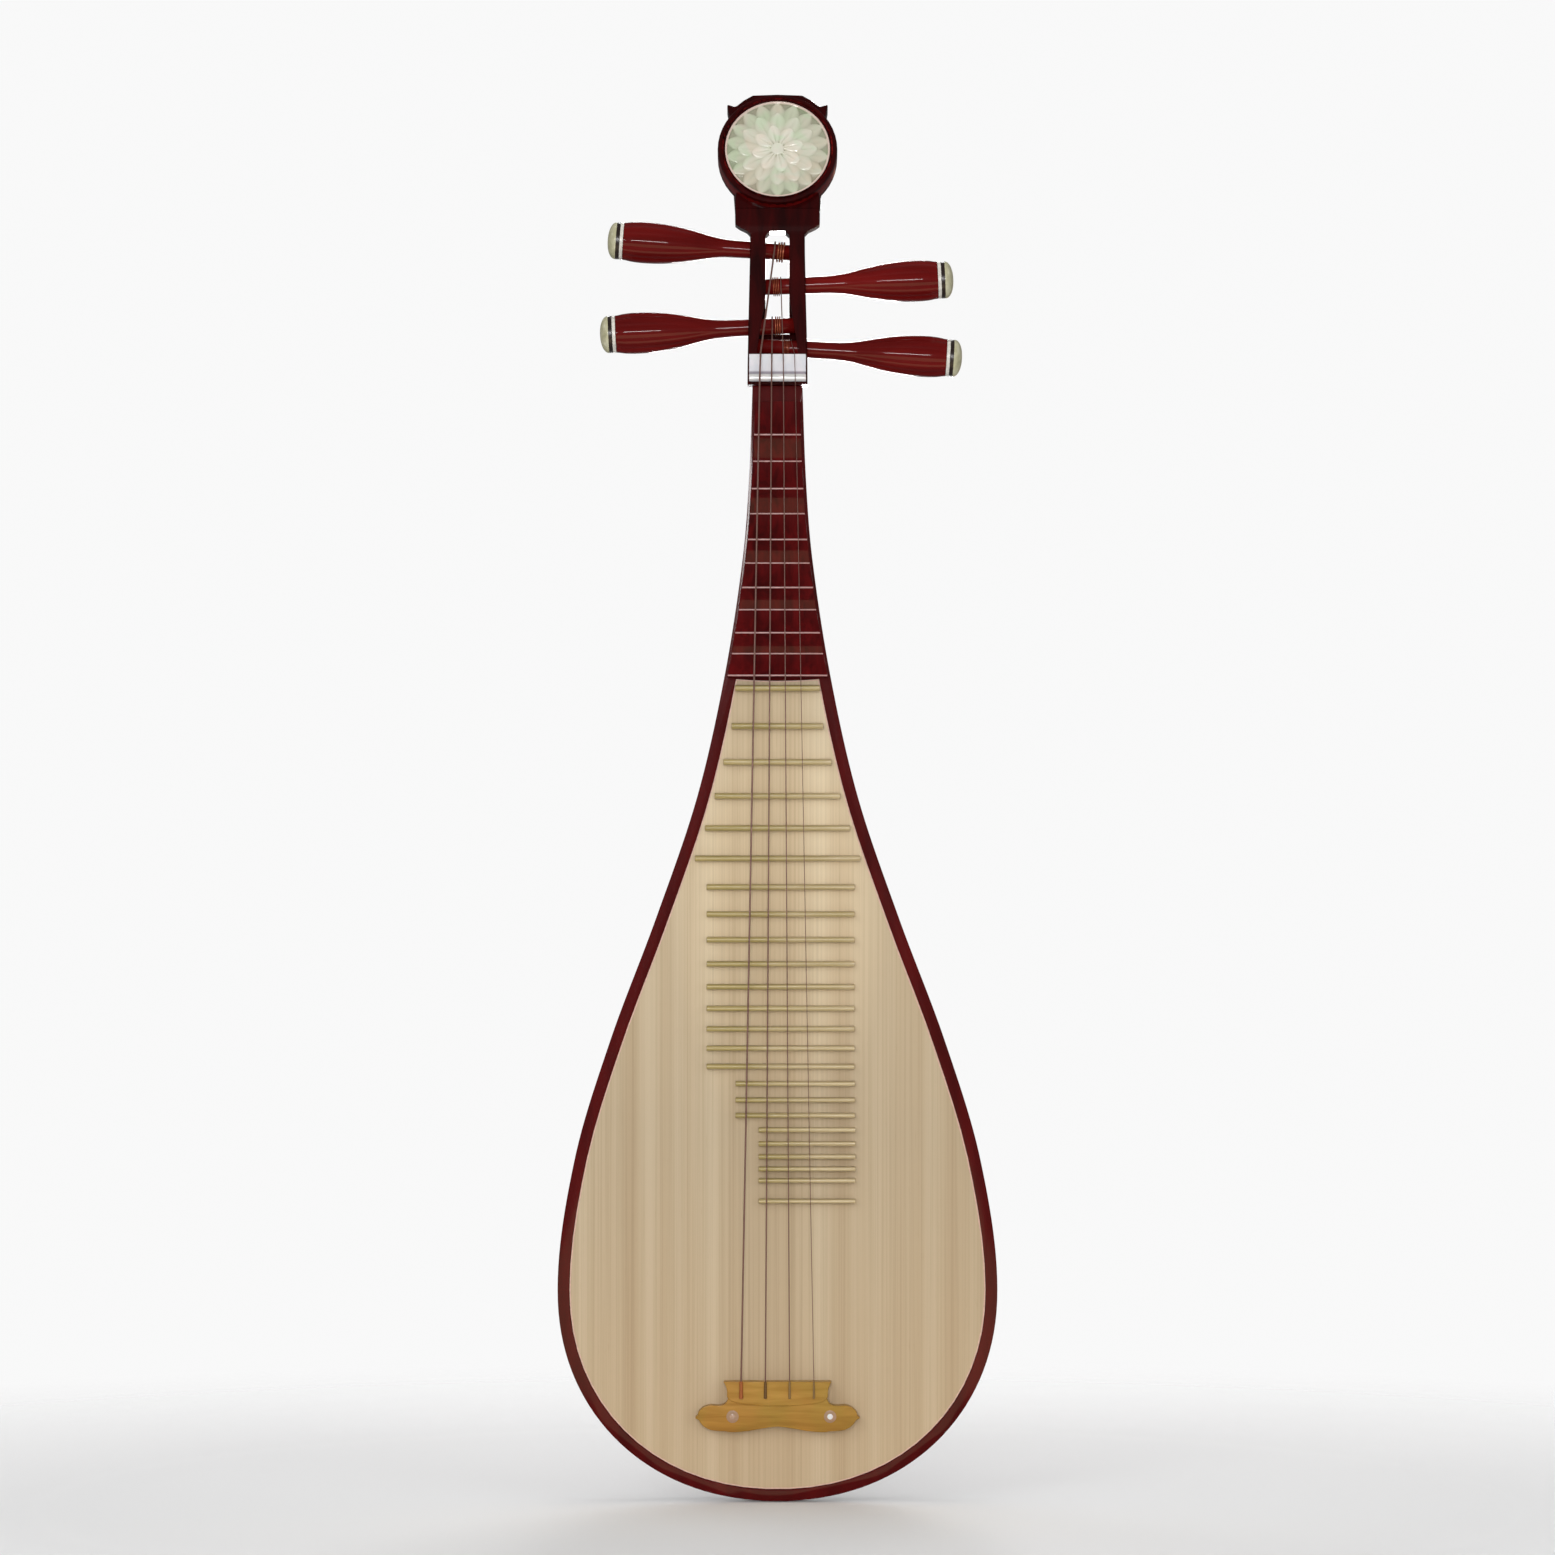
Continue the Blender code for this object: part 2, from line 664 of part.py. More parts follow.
def pegbox_back(height):
    share = (height - NECK_END) / PEGBOX_HEIGHT
    bottom = NECK_DEPTH
    top = pegbox_front(NECK_END + PEGBOX_HEIGHT) + PEGBOX_TOP_DEPTH
    return bottom + (top - bottom) * (0.55 * share + 0.45 * share * share)


def pegbox_half_width(height):
    share = (height - NECK_END) / PEGBOX_HEIGHT
    return PEGBOX_HALF_WIDTH + (PEGBOX_TOP_HALF_WIDTH - PEGBOX_HALF_WIDTH) * smooth_step(share)


def rounded_box_ring(wide, front, back):
    """Across and depth of a box with rounded corners, as offsets to place in a plane."""
    ring = []
    front_round = PEGBOX_FRONT_ROUND
    back_round = PEGBOX_BACK_ROUND
    corners = (
        (wide - front_round, front + front_round, front_round, -90),
        (wide - back_round, back - back_round, back_round, 0),
        (-wide + back_round, back - back_round, back_round, 90),
        (-wide + front_round, front + front_round, front_round, 180),
    )
    for x, y, radius, start in corners:
        for step in spread(start, start + 90, 3 if radius == front_round else 5):
            angle = math.radians(step)
            ring.append((x + radius * math.cos(angle), y + radius * math.sin(angle)))
    return ring


def head_point(across, back, up):
    """Place of a point of the head, given in the head's own tilted directions."""
    y = HEAD_SETBACK + back * math.cos(HEAD_TILT) + up * math.sin(HEAD_TILT)
    z = HEAD_HEIGHT - back * math.sin(HEAD_TILT) + up * math.cos(HEAD_TILT)
    return (across, y, z)


def make_pegbox(material):
    rings = []
    for height in spread(NECK_END, NECK_END + PEGBOX_HEIGHT, 9):
        wide = pegbox_half_width(height)
        flat_ring = rounded_box_ring(wide, pegbox_front(height), pegbox_back(height))
        rings.append([(x, y, height) for x, y in flat_ring])
    neck_top = NECK_END + PEGBOX_HEIGHT
    extra = COLLAR_HALF_WIDTH - PEGBOX_TOP_HALF_WIDTH
    for share, out in ((0.35, 0.22), (0.7, 0.72), (1.0, 1.0)):
        height = neck_top + COLLAR_RISE * share
        front = pegbox_front(height) - COLLAR_FRONT * out
        ring = rounded_box_ring(PEGBOX_TOP_HALF_WIDTH + extra * out, front, pegbox_back(height))
        rings.append([(x, y, height) for x, y in ring])
    top_ring = rounded_box_ring(COLLAR_HALF_WIDTH, -SADDLE_FRONT, SHIELD_BACK)
    rings.append([head_point(x, y, -HEAD_JOINT_DROP) for x, y in top_ring])
    pegbox = loft("pegbox", rings, material)

    low = NECK_END + PLATE_TOP + WINDOW_SILL
    half = WINDOW_HALF_WIDTH
    corner = WINDOW_CORNER
    high = neck_top + WINDOW_IN_COLLAR
    right = [(half, low), (half, high - corner), (half - corner, high)]
    left = [(-x, z) for x, z in reversed(right)]
    window = [(x, -CUT_THROUGH, z) for x, z in right + left]
    cut(pegbox, extrude_outline("window_cutter", window, (0, 2 * CUT_THROUGH, 0), None))

    wound = PEG_SHAFT + GAP + STRING_DIAMETERS[PEGS["peg_4"]["string"]]
    floor = NECK_END + PEGS["peg_4"]["rise"] - wound - FLARE_UNDER_WINDING
    flare_rings = []
    for height, half in (
        (floor, FLARE_HALF_WIDTH),
        (floor + FLARE_STRAIGHT, FLARE_HALF_WIDTH),
        (floor + FLARE_LENGTH, WINDOW_HALF_WIDTH - GAP),
    ):
        front = -CUT_THROUGH
        back = pegbox_front(height) + PEG_DEPTH + wound + FLARE_BEHIND_WINDING
        edge = [(half, front, height), (half, back, height)]
        flare_rings.append(edge + [(-x, y, z) for x, y, z in reversed(edge)])
    cut(pegbox, loft("flare_cutter", flare_rings, None))

    for name, peg in PEGS.items():
        end = pegbox_half_width(NECK_END + peg["rise"]) - PEG_END_WALL + 2 * GAP
        shoulder = PEGBOX_HALF_WIDTH + PEG_SHOULDER_CLEARANCE
        wide = PEG_SHAFT + PEG_FIT
        profile = ((-end, PEG_SHAFT_END + PEG_FIT), (shoulder, wide), (CUT_THROUGH, wide))
        bore = turned(f"{name}_bore_cutter", profile, PEG_SIDES, None)
        place_on_peg_axis(bore, peg)
        cut(pegbox, bore)
    return pegbox


# Plate over the joint at the back

def plate_section(height):
    wide = half_width(min(height, NECK_END))
    depth = body_depth(height) if height < NECK_END else pegbox_back(height)
    return wide, depth


def plate_half_width_share(height):
    """The plate narrows towards its top end and has cut corners there."""
    top = NECK_END + PLATE_TOP
    share = smooth_step((height - NECK_END) / PLATE_TOP)
    narrow = 1 - (1 - PLATE_TOP_SHARE) * share
    corner = max(1 - (top - height) / PLATE_CORNER, 0.0)
    return narrow * (1 - PLATE_CORNER_CUT * corner)


def plate_rings(grow):
    rings = []
    low = NECK_END - PLATE_BOTTOM - grow
    high = NECK_END + PLATE_TOP + grow
    heights = [low + (NECK_END - low) * share for share in (0.0, 0.28, 0.63, 1.0)]
    heights += [NECK_END + PLATE_TOP / 3, high - PLATE_CORNER, high - PLATE_CORNER / 3, high]
    angles = spread(math.radians(PLATE_EDGE_DEG), math.radians(180 - PLATE_EDGE_DEG), 13)
    for height in heights:
        wide, depth = plate_section(height)
        share = plate_half_width_share(height)
        power = 2 + PLATE_SQUARENESS * smooth_step((height - NECK_END) / PLATE_TOP)
        side = RIM_SIDE
        outer = []
        inner = []
        for angle in angles:
            across = math.cos(angle) * share
            over = (1 - abs(across) ** power) ** (1 / power)
            outer.append(((wide + PLATE_PROUD) * across, side + (depth + PLATE_PROUD - side) * over))
            x_in = (wide - PLATE_THICKNESS * 0.4 - grow) * across
            inner.append((x_in, side - grow + (depth - PLATE_THICKNESS - side) * over))
        if grow:
            reach = outer[0][0] + 2 * grow
            edge = inner[0][1] - 2 * grow
            outer = [(reach, edge), (reach, CUT_THROUGH), (-reach, CUT_THROUGH), (-reach, edge)]
        lean = PLATE_END_LEAN if height == low else 0.0
        ring = outer + list(reversed(inner))
        rings.append([(x, y, height + lean * (NECK_DEPTH - y)) for x, y in ring])
    return rings


def make_plate(material, carriers):
    loft("neck_back_plate", plate_rings(0.0), material)
    cutter = loft("plate_seat_cutter", plate_rings(GAP), None)
    for carrier in carriers:
        cut(carrier, cutter)


# Nut

def make_nut(material):
    low = NUT_HEIGHT - NUT_BELOW_CREST
    high = NUT_HEIGHT + NUT_ABOVE_CREST
    crest = -PEGBOX_FRONT - NUT_CREST
    half = NUT_WIDTH / 2

    def seat(height):
        return pegbox_front(height) - GAP

    band = NUT_HEIGHT + NUT_CREST_BAND / 2
    outline = [
        (low, seat(low)),
        (low, crest + 0.0016),
        (NUT_HEIGHT - 0.0012, crest),
        (NUT_HEIGHT + 0.0002, crest),
        (band, crest + 0.0018),
        (band + 0.0012, seat(band) - NUT_PLATE),
        (high - 0.0006, seat(high) - NUT_PLATE),
        (high, seat(high) - NUT_PLATE + 0.0006),
        (high, seat(high)),
    ]
    points = [(-half, y, z) for z, y in outline]
    nut = extrude_outline("nut", points, (2 * half, 0, 0), material)
    add_bevel(nut, 0.0003, 1, 60)


# Head

def head_frame():
    frame = bpy.data.objects.new("head_frame", None)
    frame.location = (0, HEAD_SETBACK, HEAD_HEIGHT)
    frame.rotation_euler = (-HEAD_TILT, 0, 0)
    bpy.context.scene.collection.objects.link(frame)
    return frame


def turn_to_front(piece, frame):
    """Local X of a turned piece becomes the head's forward direction."""
    piece.parent = frame
    piece.rotation_euler = (0, 0, math.radians(-90))


def make_head(material, frame):
    outline = list(SHIELD_OUTLINE) + [(-x, z) for x, z in reversed(SHIELD_OUTLINE[:-1])]
    start_z = -HEAD_JOINT_DROP + GAP
    points = [(x, SHIELD_FRONT, max(z, start_z + SADDLE_LAP)) for x, z in outline]
    head = extrude_outline("head_block", points, (0, SHIELD_BACK - SHIELD_FRONT, 0), material, True)
    head.parent = frame
    add_bevel(head, SHIELD_BEVEL, 2, 25)

    seat = DISC_RADIUS + GAP
    floor = DRUM_FRONT - DISC_THICKNESS - GAP
    drum_profile = (
        (floor, seat * 0.02),
        (floor, seat),
        (DRUM_FRONT - 0.0004, seat),
        (DRUM_FRONT, seat + 0.0005),
        (DRUM_FRONT, DRUM_RADIUS - 0.0018),
        (DRUM_FRONT - 0.0007, DRUM_RADIUS - 0.0006),
        (DRUM_FRONT - 0.0020, DRUM_RADIUS),
        (-DRUM_BACK * 0.4, DRUM_RADIUS),
        (-DRUM_BACK, DRUM_RADIUS - 0.004),
        (-DRUM_BACK, DRUM_RADIUS * 0.02),
    )
    drum = turned("head_drum", drum_profile, ROUND_SIDES, material)
    turn_to_front(drum, frame)
    cut(head, drum, "UNION")

    wide = COLLAR_HALF_WIDTH + SADDLE_PROUD
    saddle_rings = []
    for share, draw_in in ((0.0, 0.0), (0.5, 0.0), (1.0, SADDLE_DRAW_IN)):
        ring = rounded_box_ring(wide - draw_in / 2, -SADDLE_FRONT, SHIELD_BACK + SADDLE_PROUD - draw_in)
        saddle_rings.append([(x, y, start_z + SADDLE_HEIGHT * share) for x, y in ring])
    saddle = loft("head_saddle", saddle_rings, material)
    saddle.parent = frame
    cut(head, saddle, "UNION")


def petal_relief(radius_share, angle):
    """Height share of a rosette: a round boss, a ring of petals and a ring of wider ones."""
    if radius_share < 0.2:
        return 0.75 + 0.25 * math.cos(radius_share / 0.2 * math.pi / 2)
    if radius_share < 0.56:
        ring = math.sin((radius_share - 0.2) / 0.36 * math.pi) ** 0.7
        return 0.2 + 0.65 * ring * abs(math.cos(angle * PETALS / 2)) ** 0.6
    if radius_share < 0.93:
        ring = math.sin((radius_share - 0.56) / 0.37 * math.pi) ** 0.6
        return 0.15 + 0.6 * ring * abs(math.sin(angle * PETALS / 2)) ** 0.6
    return DISC_RIM_SHARE


def make_head_disc(material, frame):
    builder = bmesh.new()
    sides = PETALS * 4
    face = DRUM_FRONT - DISC_SUNK
    back = DRUM_FRONT - DISC_THICKNESS
    shares = (0.02, 0.12, 0.21, 0.3, 0.38, 0.46, 0.56, 0.66, 0.75, 0.84, 0.93, 1.0)
    rings = []
    for share in shares:
        ring = []
        for i in range(sides):
            angle = 2 * math.pi * i / sides
            along = face + DISC_RELIEF * (petal_relief(share, angle) - DISC_RIM_SHARE)
            reach = DISC_RADIUS * share
            ring.append(builder.verts.new((along, -reach * math.cos(angle), reach * math.sin(angle))))
        rings.append(ring)
    rear = []
    for i in range(sides):
        angle = 2 * math.pi * i / sides
        rear.append(builder.verts.new((back, -DISC_RADIUS * math.cos(angle), DISC_RADIUS * math.sin(angle))))
    rings.append(rear)
    for low, high in zip(rings, rings[1:]):
        for i in range(sides):
            builder.faces.new((low[i], low[(i + 1) % sides], high[(i + 1) % sides], high[i]))
    builder.faces.new(list(reversed(rings[0])))
    builder.faces.new(rear)
    disc = add_object("head_disc", builder, material)
    turn_to_front(disc, frame)


# Pegs and the strings wound on them

def peg_centre(peg):
    height = NECK_END + peg["rise"]
    return Vector((0, pegbox_front(height) + PEG_DEPTH, height))


def peg_direction(peg):
    tilt = math.radians(peg["tilt"])
    return Vector((peg["side"] * math.cos(tilt), 0, math.sin(tilt)))


def place_on_peg_axis(piece, peg):
    """Local X runs outward along the peg."""
    tilt = math.radians(peg["tilt"])
    turn = -tilt if peg["side"] > 0 else math.pi + tilt
    piece.location = peg_centre(peg)
    piece.rotation_euler = (0, turn, 0)


def make_pegs(wood, bone):
    for name, peg in PEGS.items():
        axis = bpy.data.objects.new(f"{name}_axis", None)
        bpy.context.scene.collection.objects.link(axis)
        place_on_peg_axis(axis, peg)
        handle_end = peg["reach"] - PEG_CAP_LENGTH
        inner_end = pegbox_half_width(NECK_END + peg["rise"]) - PEG_END_WALL
        profile = [(handle_end - inward, radius) for inward, radius in PEG_HANDLE]
        shoulder = PEGBOX_HALF_WIDTH + PEG_SHOULDER_CLEARANCE
        profile.append((shoulder, PEG_SHAFT))
        profile.append((-inner_end, PEG_SHAFT_END))
        profile.reverse()

        def fluted(along, radius, angle):
            bulge = smooth_step((radius - PEG_SHAFT * 1.05) / 0.005)
            return radius * (1 + PEG_FLUTE_DEPTH * bulge * math.cos(PEG_FLUTES * angle))

        handle = turned(name, profile, PEG_SIDES, wood, fluted)
        handle.parent = axis
        dome_start = peg["reach"] - PEG_DOME
        cap_start = handle_end + GAP
        cap_profile = [
            (cap_start, PEG_CAP_RADIUS - PEG_CAP_CHAMFER),
            (cap_start + PEG_CAP_CHAMFER, PEG_CAP_RADIUS),
        ]
        for share in spread(0.0, 0.97, 5):
            angle = share * math.pi / 2
            along = dome_start + PEG_DOME * math.sin(angle)
            cap_profile.append((along, PEG_CAP_RADIUS * math.cos(angle)))
        cap = turned(f"{name}_cap", cap_profile, 24, bone)
        cap.parent = axis


def string_across(number, spacing):
    return (number - 1.5) * spacing


def string_stand_off(number):
    return STRING_DIAMETERS[number] / 2 + GAP


def nut_edge_point(number):
    height = NUT_HEIGHT + NUT_ABOVE_CREST
    depth = pegbox_front(height) - GAP - NUT_PLATE - string_stand_off(number)
    return Vector((string_across(number, NUT_SPACING) * 0.96, depth, height))


def nut_crest_point(number):
    depth = -PEGBOX_FRONT - NUT_CREST - string_stand_off(number)
    return Vector((string_across(number, NUT_SPACING), depth, NUT_HEIGHT))


def winding_exit(peg):
    """Angle up from the peg's front at which the string runs straight to the nut."""
    number = peg["string"]
    centre = peg_centre(peg)
    target = nut_edge_point(number)
    radius = PEG_SHAFT + string_stand_off(number)
    flat = Vector((target.y - centre.y, target.z - centre.z))
    toward = math.atan2(flat.y, -flat.x)
    return radius, toward + math.acos(radius / flat.length)


def winding_points(peg):
    """The string's own last half turn over the shaft, and the turns wound beside it."""
    number = peg["string"]
    diameter = STRING_DIAMETERS[number]
    radius, start = winding_exit(peg)
    along = peg_direction(peg)
    up = along.cross(Vector((0, 1, 0))) * peg["side"]
    if up.z < 0:
        up = -up
    front = Vector((0, -1, 0))
    lay_side = 1 if along.x > 0 else -1
    first = peg_centre(peg) + along * (peg["lay"] * lay_side / abs(along.x))
    inward = -1 if peg["lay"] > 0 else 1
    pitch = (diameter + WINDING_SPACE) * inward * lay_side

    def on_shaft(turn, pitches):
        angle = start + turn * 2 * math.pi
        offset = front * math.cos(angle) + up * math.sin(angle)
        return first + along * (pitch * pitches) + offset * radius

    last_turn = []
    for i in range(WINDING_LOOP_POINTS // 2 + 1):
        last_turn.append(on_shaft(i / WINDING_LOOP_POINTS, 0))
    helix = []
    for i in range(WINDING_TURNS[number] * WINDING_LOOP_POINTS + 1):
        turn = i / WINDING_LOOP_POINTS
        helix.append(on_shaft(0.5 + turn, 1 + turn))
    finish = (helix[-1] - helix[-2]).normalized()
    helix.append(helix[-1] + finish * diameter)
    return last_turn, helix


def least_gap_to_itself(points, diameter):
    """Least gap between stretches of a tube that lie more than half a loop apart."""
    apart = WINDING_LOOP_POINTS // 2
    least = min(
        (points[i] - points[j]).length
        for i in range(len(points))
        for j in range(i + apart, len(points))
    )
    return least - diameter


def make_strings(material):
    for name, peg in PEGS.items():
        number = peg["string"]
        diameter = STRING_DIAMETERS[number]
        last_turn, wound = winding_points(peg)
        least_gap = least_gap_to_itself(wound, diameter) * 1000
        print(name, "winding, least gap to itself in mm:", round(least_gap, 3))
        round_string(f"{name}_winding", wound, diameter, material)
        across = string_across(number, BRIDGE_SPACING)
        top = -BRIDGE_THICKNESS - string_stand_off(number)
        hole = BRIDGE_HEIGHT - BRIDGE_HOLE_DROP
        bend = diameter
        route = last_turn[::-1] + [
            nut_edge_point(number),
            nut_crest_point(number),
            Vector((across, top, BRIDGE_HEIGHT)),
            Vector((across, top, hole + bend)),
            Vector((across, top + bend * 0.3, hole + bend * 0.3)),
            Vector((across, top + bend, hole)),
            Vector((across, top + bend + STRING_TUCK, hole)),
        ]
        round_string(f"string_{number + 1}", route, diameter, material)


def main():
    clear_scene()
    lacquer = make_material("red_lacquer", (0.19, 0.008, 0.010), 0.22)
    board_wood = make_material("board_wood", (0.62, 0.47, 0.32), 0.6)
    inner_wood = make_material("inner_wood", (0.55, 0.40, 0.26), 0.7)
    bamboo = make_material("bamboo", (0.58, 0.44, 0.20), 0.45)
    bridge_wood = make_material("bridge_bamboo", (0.50, 0.34, 0.12), 0.5)
    bone = make_material("bone", (0.80, 0.76, 0.62), 0.35)
    nut_bone = make_material("nut_bone", (0.88, 0.87, 0.86), 0.25)
    steel = make_material("wound_string", (0.50, 0.42, 0.36), 0.35, 0.6)

    back = make_back(lacquer)
    make_soundboard(board_wood)
    make_bars(inner_wood)
    make_posts(inner_wood)
    make_neck_frets(lacquer)
    make_board_frets(bamboo)
    make_bridge(bridge_wood)
    pegbox = make_pegbox(lacquer)
    make_plate(bone, (back, pegbox))
    make_nut(nut_bone)
    frame = head_frame()
    make_head(lacquer, frame)
    make_head_disc(bone, frame)
    make_pegs(lacquer, bone)
    make_strings(steel)


main()
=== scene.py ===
import json
import math

import bmesh
import bpy
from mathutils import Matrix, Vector


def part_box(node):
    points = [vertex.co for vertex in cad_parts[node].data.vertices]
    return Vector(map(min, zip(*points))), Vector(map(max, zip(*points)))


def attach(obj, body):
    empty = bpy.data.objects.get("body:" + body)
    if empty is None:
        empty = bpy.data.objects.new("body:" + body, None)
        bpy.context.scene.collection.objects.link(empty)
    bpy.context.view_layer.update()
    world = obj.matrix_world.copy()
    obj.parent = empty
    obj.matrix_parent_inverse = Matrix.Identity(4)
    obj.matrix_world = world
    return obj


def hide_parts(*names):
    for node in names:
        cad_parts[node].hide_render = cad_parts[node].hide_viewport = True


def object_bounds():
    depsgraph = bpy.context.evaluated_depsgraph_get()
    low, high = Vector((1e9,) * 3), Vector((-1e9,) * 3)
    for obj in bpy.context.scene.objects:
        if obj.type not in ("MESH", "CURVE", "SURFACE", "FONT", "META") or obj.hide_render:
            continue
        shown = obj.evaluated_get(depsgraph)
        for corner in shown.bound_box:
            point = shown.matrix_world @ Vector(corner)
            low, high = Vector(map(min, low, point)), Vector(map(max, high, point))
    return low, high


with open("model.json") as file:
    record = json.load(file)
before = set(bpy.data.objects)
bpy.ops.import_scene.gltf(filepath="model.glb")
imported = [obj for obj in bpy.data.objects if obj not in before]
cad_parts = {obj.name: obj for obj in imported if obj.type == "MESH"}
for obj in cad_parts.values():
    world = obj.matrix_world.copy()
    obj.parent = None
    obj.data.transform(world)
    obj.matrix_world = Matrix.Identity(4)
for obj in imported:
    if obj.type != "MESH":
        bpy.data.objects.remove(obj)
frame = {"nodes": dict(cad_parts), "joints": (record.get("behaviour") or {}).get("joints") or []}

cadLow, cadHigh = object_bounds()
cadNodes = frame["nodes"]
pegJoints = {joint["child"]: joint for joint in frame["joints"]}
print("frame loaded:", len(cadNodes), "nodes,", len(pegJoints), "turning pegs")

sameSpot = 0.00001  # points this near count as one place
nearFace = 0.00005  # and points this near a face as on it


# Small tools

def newObject(name, data):
    piece = bpy.data.objects.new(name, data)
    bpy.context.scene.collection.objects.link(piece)
    return piece


def deselectAll():
    if bpy.context.object and bpy.context.object.mode != "OBJECT":
        bpy.ops.object.mode_set(mode="OBJECT")
    bpy.ops.object.select_all(action="DESELECT")


def makeActive(piece):
    deselectAll()
    piece.select_set(True)
    bpy.context.view_layer.objects.active = piece


def selectAll():
    bpy.ops.mesh.select_all(action="SELECT")


def startEdit(piece):
    makeActive(piece)
    bpy.ops.object.mode_set(mode="EDIT")


def editWhole(piece):
    startEdit(piece)
    selectAll()


def leaveEdit():
    bpy.ops.object.mode_set(mode="OBJECT")


def extrudeBy(across, back, up):
    bpy.ops.mesh.extrude_region_move(TRANSFORM_OT_translate={"value": (across, back, up)})


def resizeAbout(center, factors):
    bpy.ops.transform.resize(value=factors, center_override=center)


def selectPoints(piece, wanted):
    mesh = bmesh.from_edit_mesh(piece.data)
    for point in mesh.verts:
        point.select_set(False)
    mesh.select_flush(False)
    for point in mesh.verts:
        if wanted(point):
            point.select_set(True)
    mesh.select_flush_mode()
    bmesh.update_edit_mesh(piece.data)


def selectFaces(piece, wanted):
    mesh = bmesh.from_edit_mesh(piece.data)
    for face in mesh.faces:
        face.select_set(wanted(face))
    bmesh.update_edit_mesh(piece.data)


def movePoints(piece, move):
    startEdit(piece)
    mesh = bmesh.from_edit_mesh(piece.data)
    for point in mesh.verts:
        move(point.co)
    bmesh.update_edit_mesh(piece.data)
    leaveEdit()


def closeAndSmooth(piece, angle):
    editWhole(piece)
    bpy.ops.mesh.normals_make_consistent(inside=False)
    leaveEdit()
    bpy.ops.object.shade_smooth_by_angle(angle=math.radians(angle))


def flattenShading(piece, angle):
    # large flat faces keep their own shading and only the rounded edges blend
    closeAndSmooth(piece, angle)
    applyModifier(piece, "WEIGHTED_NORMAL", keep_sharp=True)


def applyModifier(piece, kind, **settings):
    makeActive(piece)
    modifier = piece.modifiers.new(kind.title(), kind)
    for key, value in settings.items():
        setattr(modifier, key, value)
    bpy.ops.object.modifier_apply(modifier=modifier.name)


def roundEdges(piece, width, segments=2, angle=30):
    applyModifier(piece, "BEVEL", width=width, segments=segments, limit_method="ANGLE",
                  angle_limit=math.radians(angle), harden_normals=False)


def copyOfNode(nodeName, pieceName):
    # a node's mesh is loose triangles, so the copy's points are merged
    piece = newObject(pieceName, cadNodes[nodeName].data.copy())
    piece.data.materials.clear()
    makeActive(piece)
    bpy.ops.mesh.customdata_custom_splitnormals_clear()
    editWhole(piece)
    bpy.ops.mesh.remove_doubles(threshold=2 * sameSpot)
    leaveEdit()
    return piece


def joinFlatFaces(piece, angle=0.6):
    editWhole(piece)
    bpy.ops.mesh.dissolve_limited(angle_limit=math.radians(angle))
    leaveEdit()


def finishPiece(piece, material, body, slotName, *replaced):
    piece.data.materials.clear()
    piece.data.materials.append(material)
    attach(piece, body)
    if replaced:
        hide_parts(*replaced)


def roundedCopy(nodeName, pieceName, sizes, material, slotName):
    # a node's copy with its edges rounded
    piece = copyOfNode(nodeName, pieceName)
    joinFlatFaces(piece)
    roundEdges(piece, sizes["edgeRound"], 2, sizes["edgeAngle"])
    flattenShading(piece, sizes["smoothAngle"])
    finishPiece(piece, material, "root", slotName, nodeName)


def startCircle(name, sides, radius, along=0.0):
    deselectAll()
    bpy.ops.mesh.primitive_circle_add(vertices=sides, radius=radius, fill_type="NGON", location=(0, 0, along))
    piece = bpy.context.object
    piece.name = name
    bpy.ops.object.transform_apply()
    return piece


def turnProfile(name, profile, sides):
    # a circle, extruded and resized ring by ring along Z
    along, radius = profile[0]
    piece = startCircle(name, sides, radius, along)
    editWhole(piece)
    for nextAlong, nextRadius in profile[1:]:
        extrudeBy(0, 0, nextAlong - along)
        ratio = nextRadius / radius
        resizeAbout((0, 0, nextAlong), (ratio, ratio, 1))
        along, radius = nextAlong, nextRadius
    leaveEdit()
    return piece


def placePiece(piece, location, rotation):
    makeActive(piece)
    piece.location = location
    piece.rotation_mode = "QUATERNION"
    piece.rotation_quaternion = rotation
    bpy.ops.object.transform_apply()


def settlePiece(piece, location, rotation, angle, material, body, slotName, *replaced):
    placePiece(piece, location, rotation)
    closeAndSmooth(piece, angle)
    finishPiece(piece, material, body, slotName, *replaced)


def curveValue(stations, place):
    # smooth curve through (place, value) stations
    last = len(stations) - 1
    span = next((i for i in range(last) if place <= stations[i + 1][0]), last - 1)

    def slope(i):
        low = stations[max(i - 1, 0)]
        high = stations[min(i + 1, last)]
        return (high[1] - low[1]) / (high[0] - low[0])

    (x0, y0), (x1, y1) = stations[span], stations[span + 1]
    width = x1 - x0
    t = (place - x0) / width
    start = slope(span) if span else 0.0
    return ((2 * t ** 3 - 3 * t ** 2 + 1) * y0 + (t ** 3 - 2 * t ** 2 + t) * width * start
            + (3 * t ** 2 - 2 * t ** 3) * y1 + (t ** 3 - t ** 2) * width * slope(span + 1))


def spread(first, last, count):
    return [first + (last - first) * i / (count - 1) for i in range(count)]


def scaled(values, factor):
    return tuple(value * factor for value in values)


# Materials

white = (1.0, 1.0, 1.0)


def startMaterial(name):
    material = bpy.data.materials.new(name)
    material.use_nodes = True
    tree = material.node_tree
    return material, tree, tree.nodes["Principled BSDF"]


def addNode(tree, kind, values=None, **settings):
    node = tree.nodes.new("ShaderNode" + kind)
    for key, value in settings.items():
        setattr(node, key, value)
    for key, value in (values or {}).items():
        node.inputs[key].default_value = value
    return node


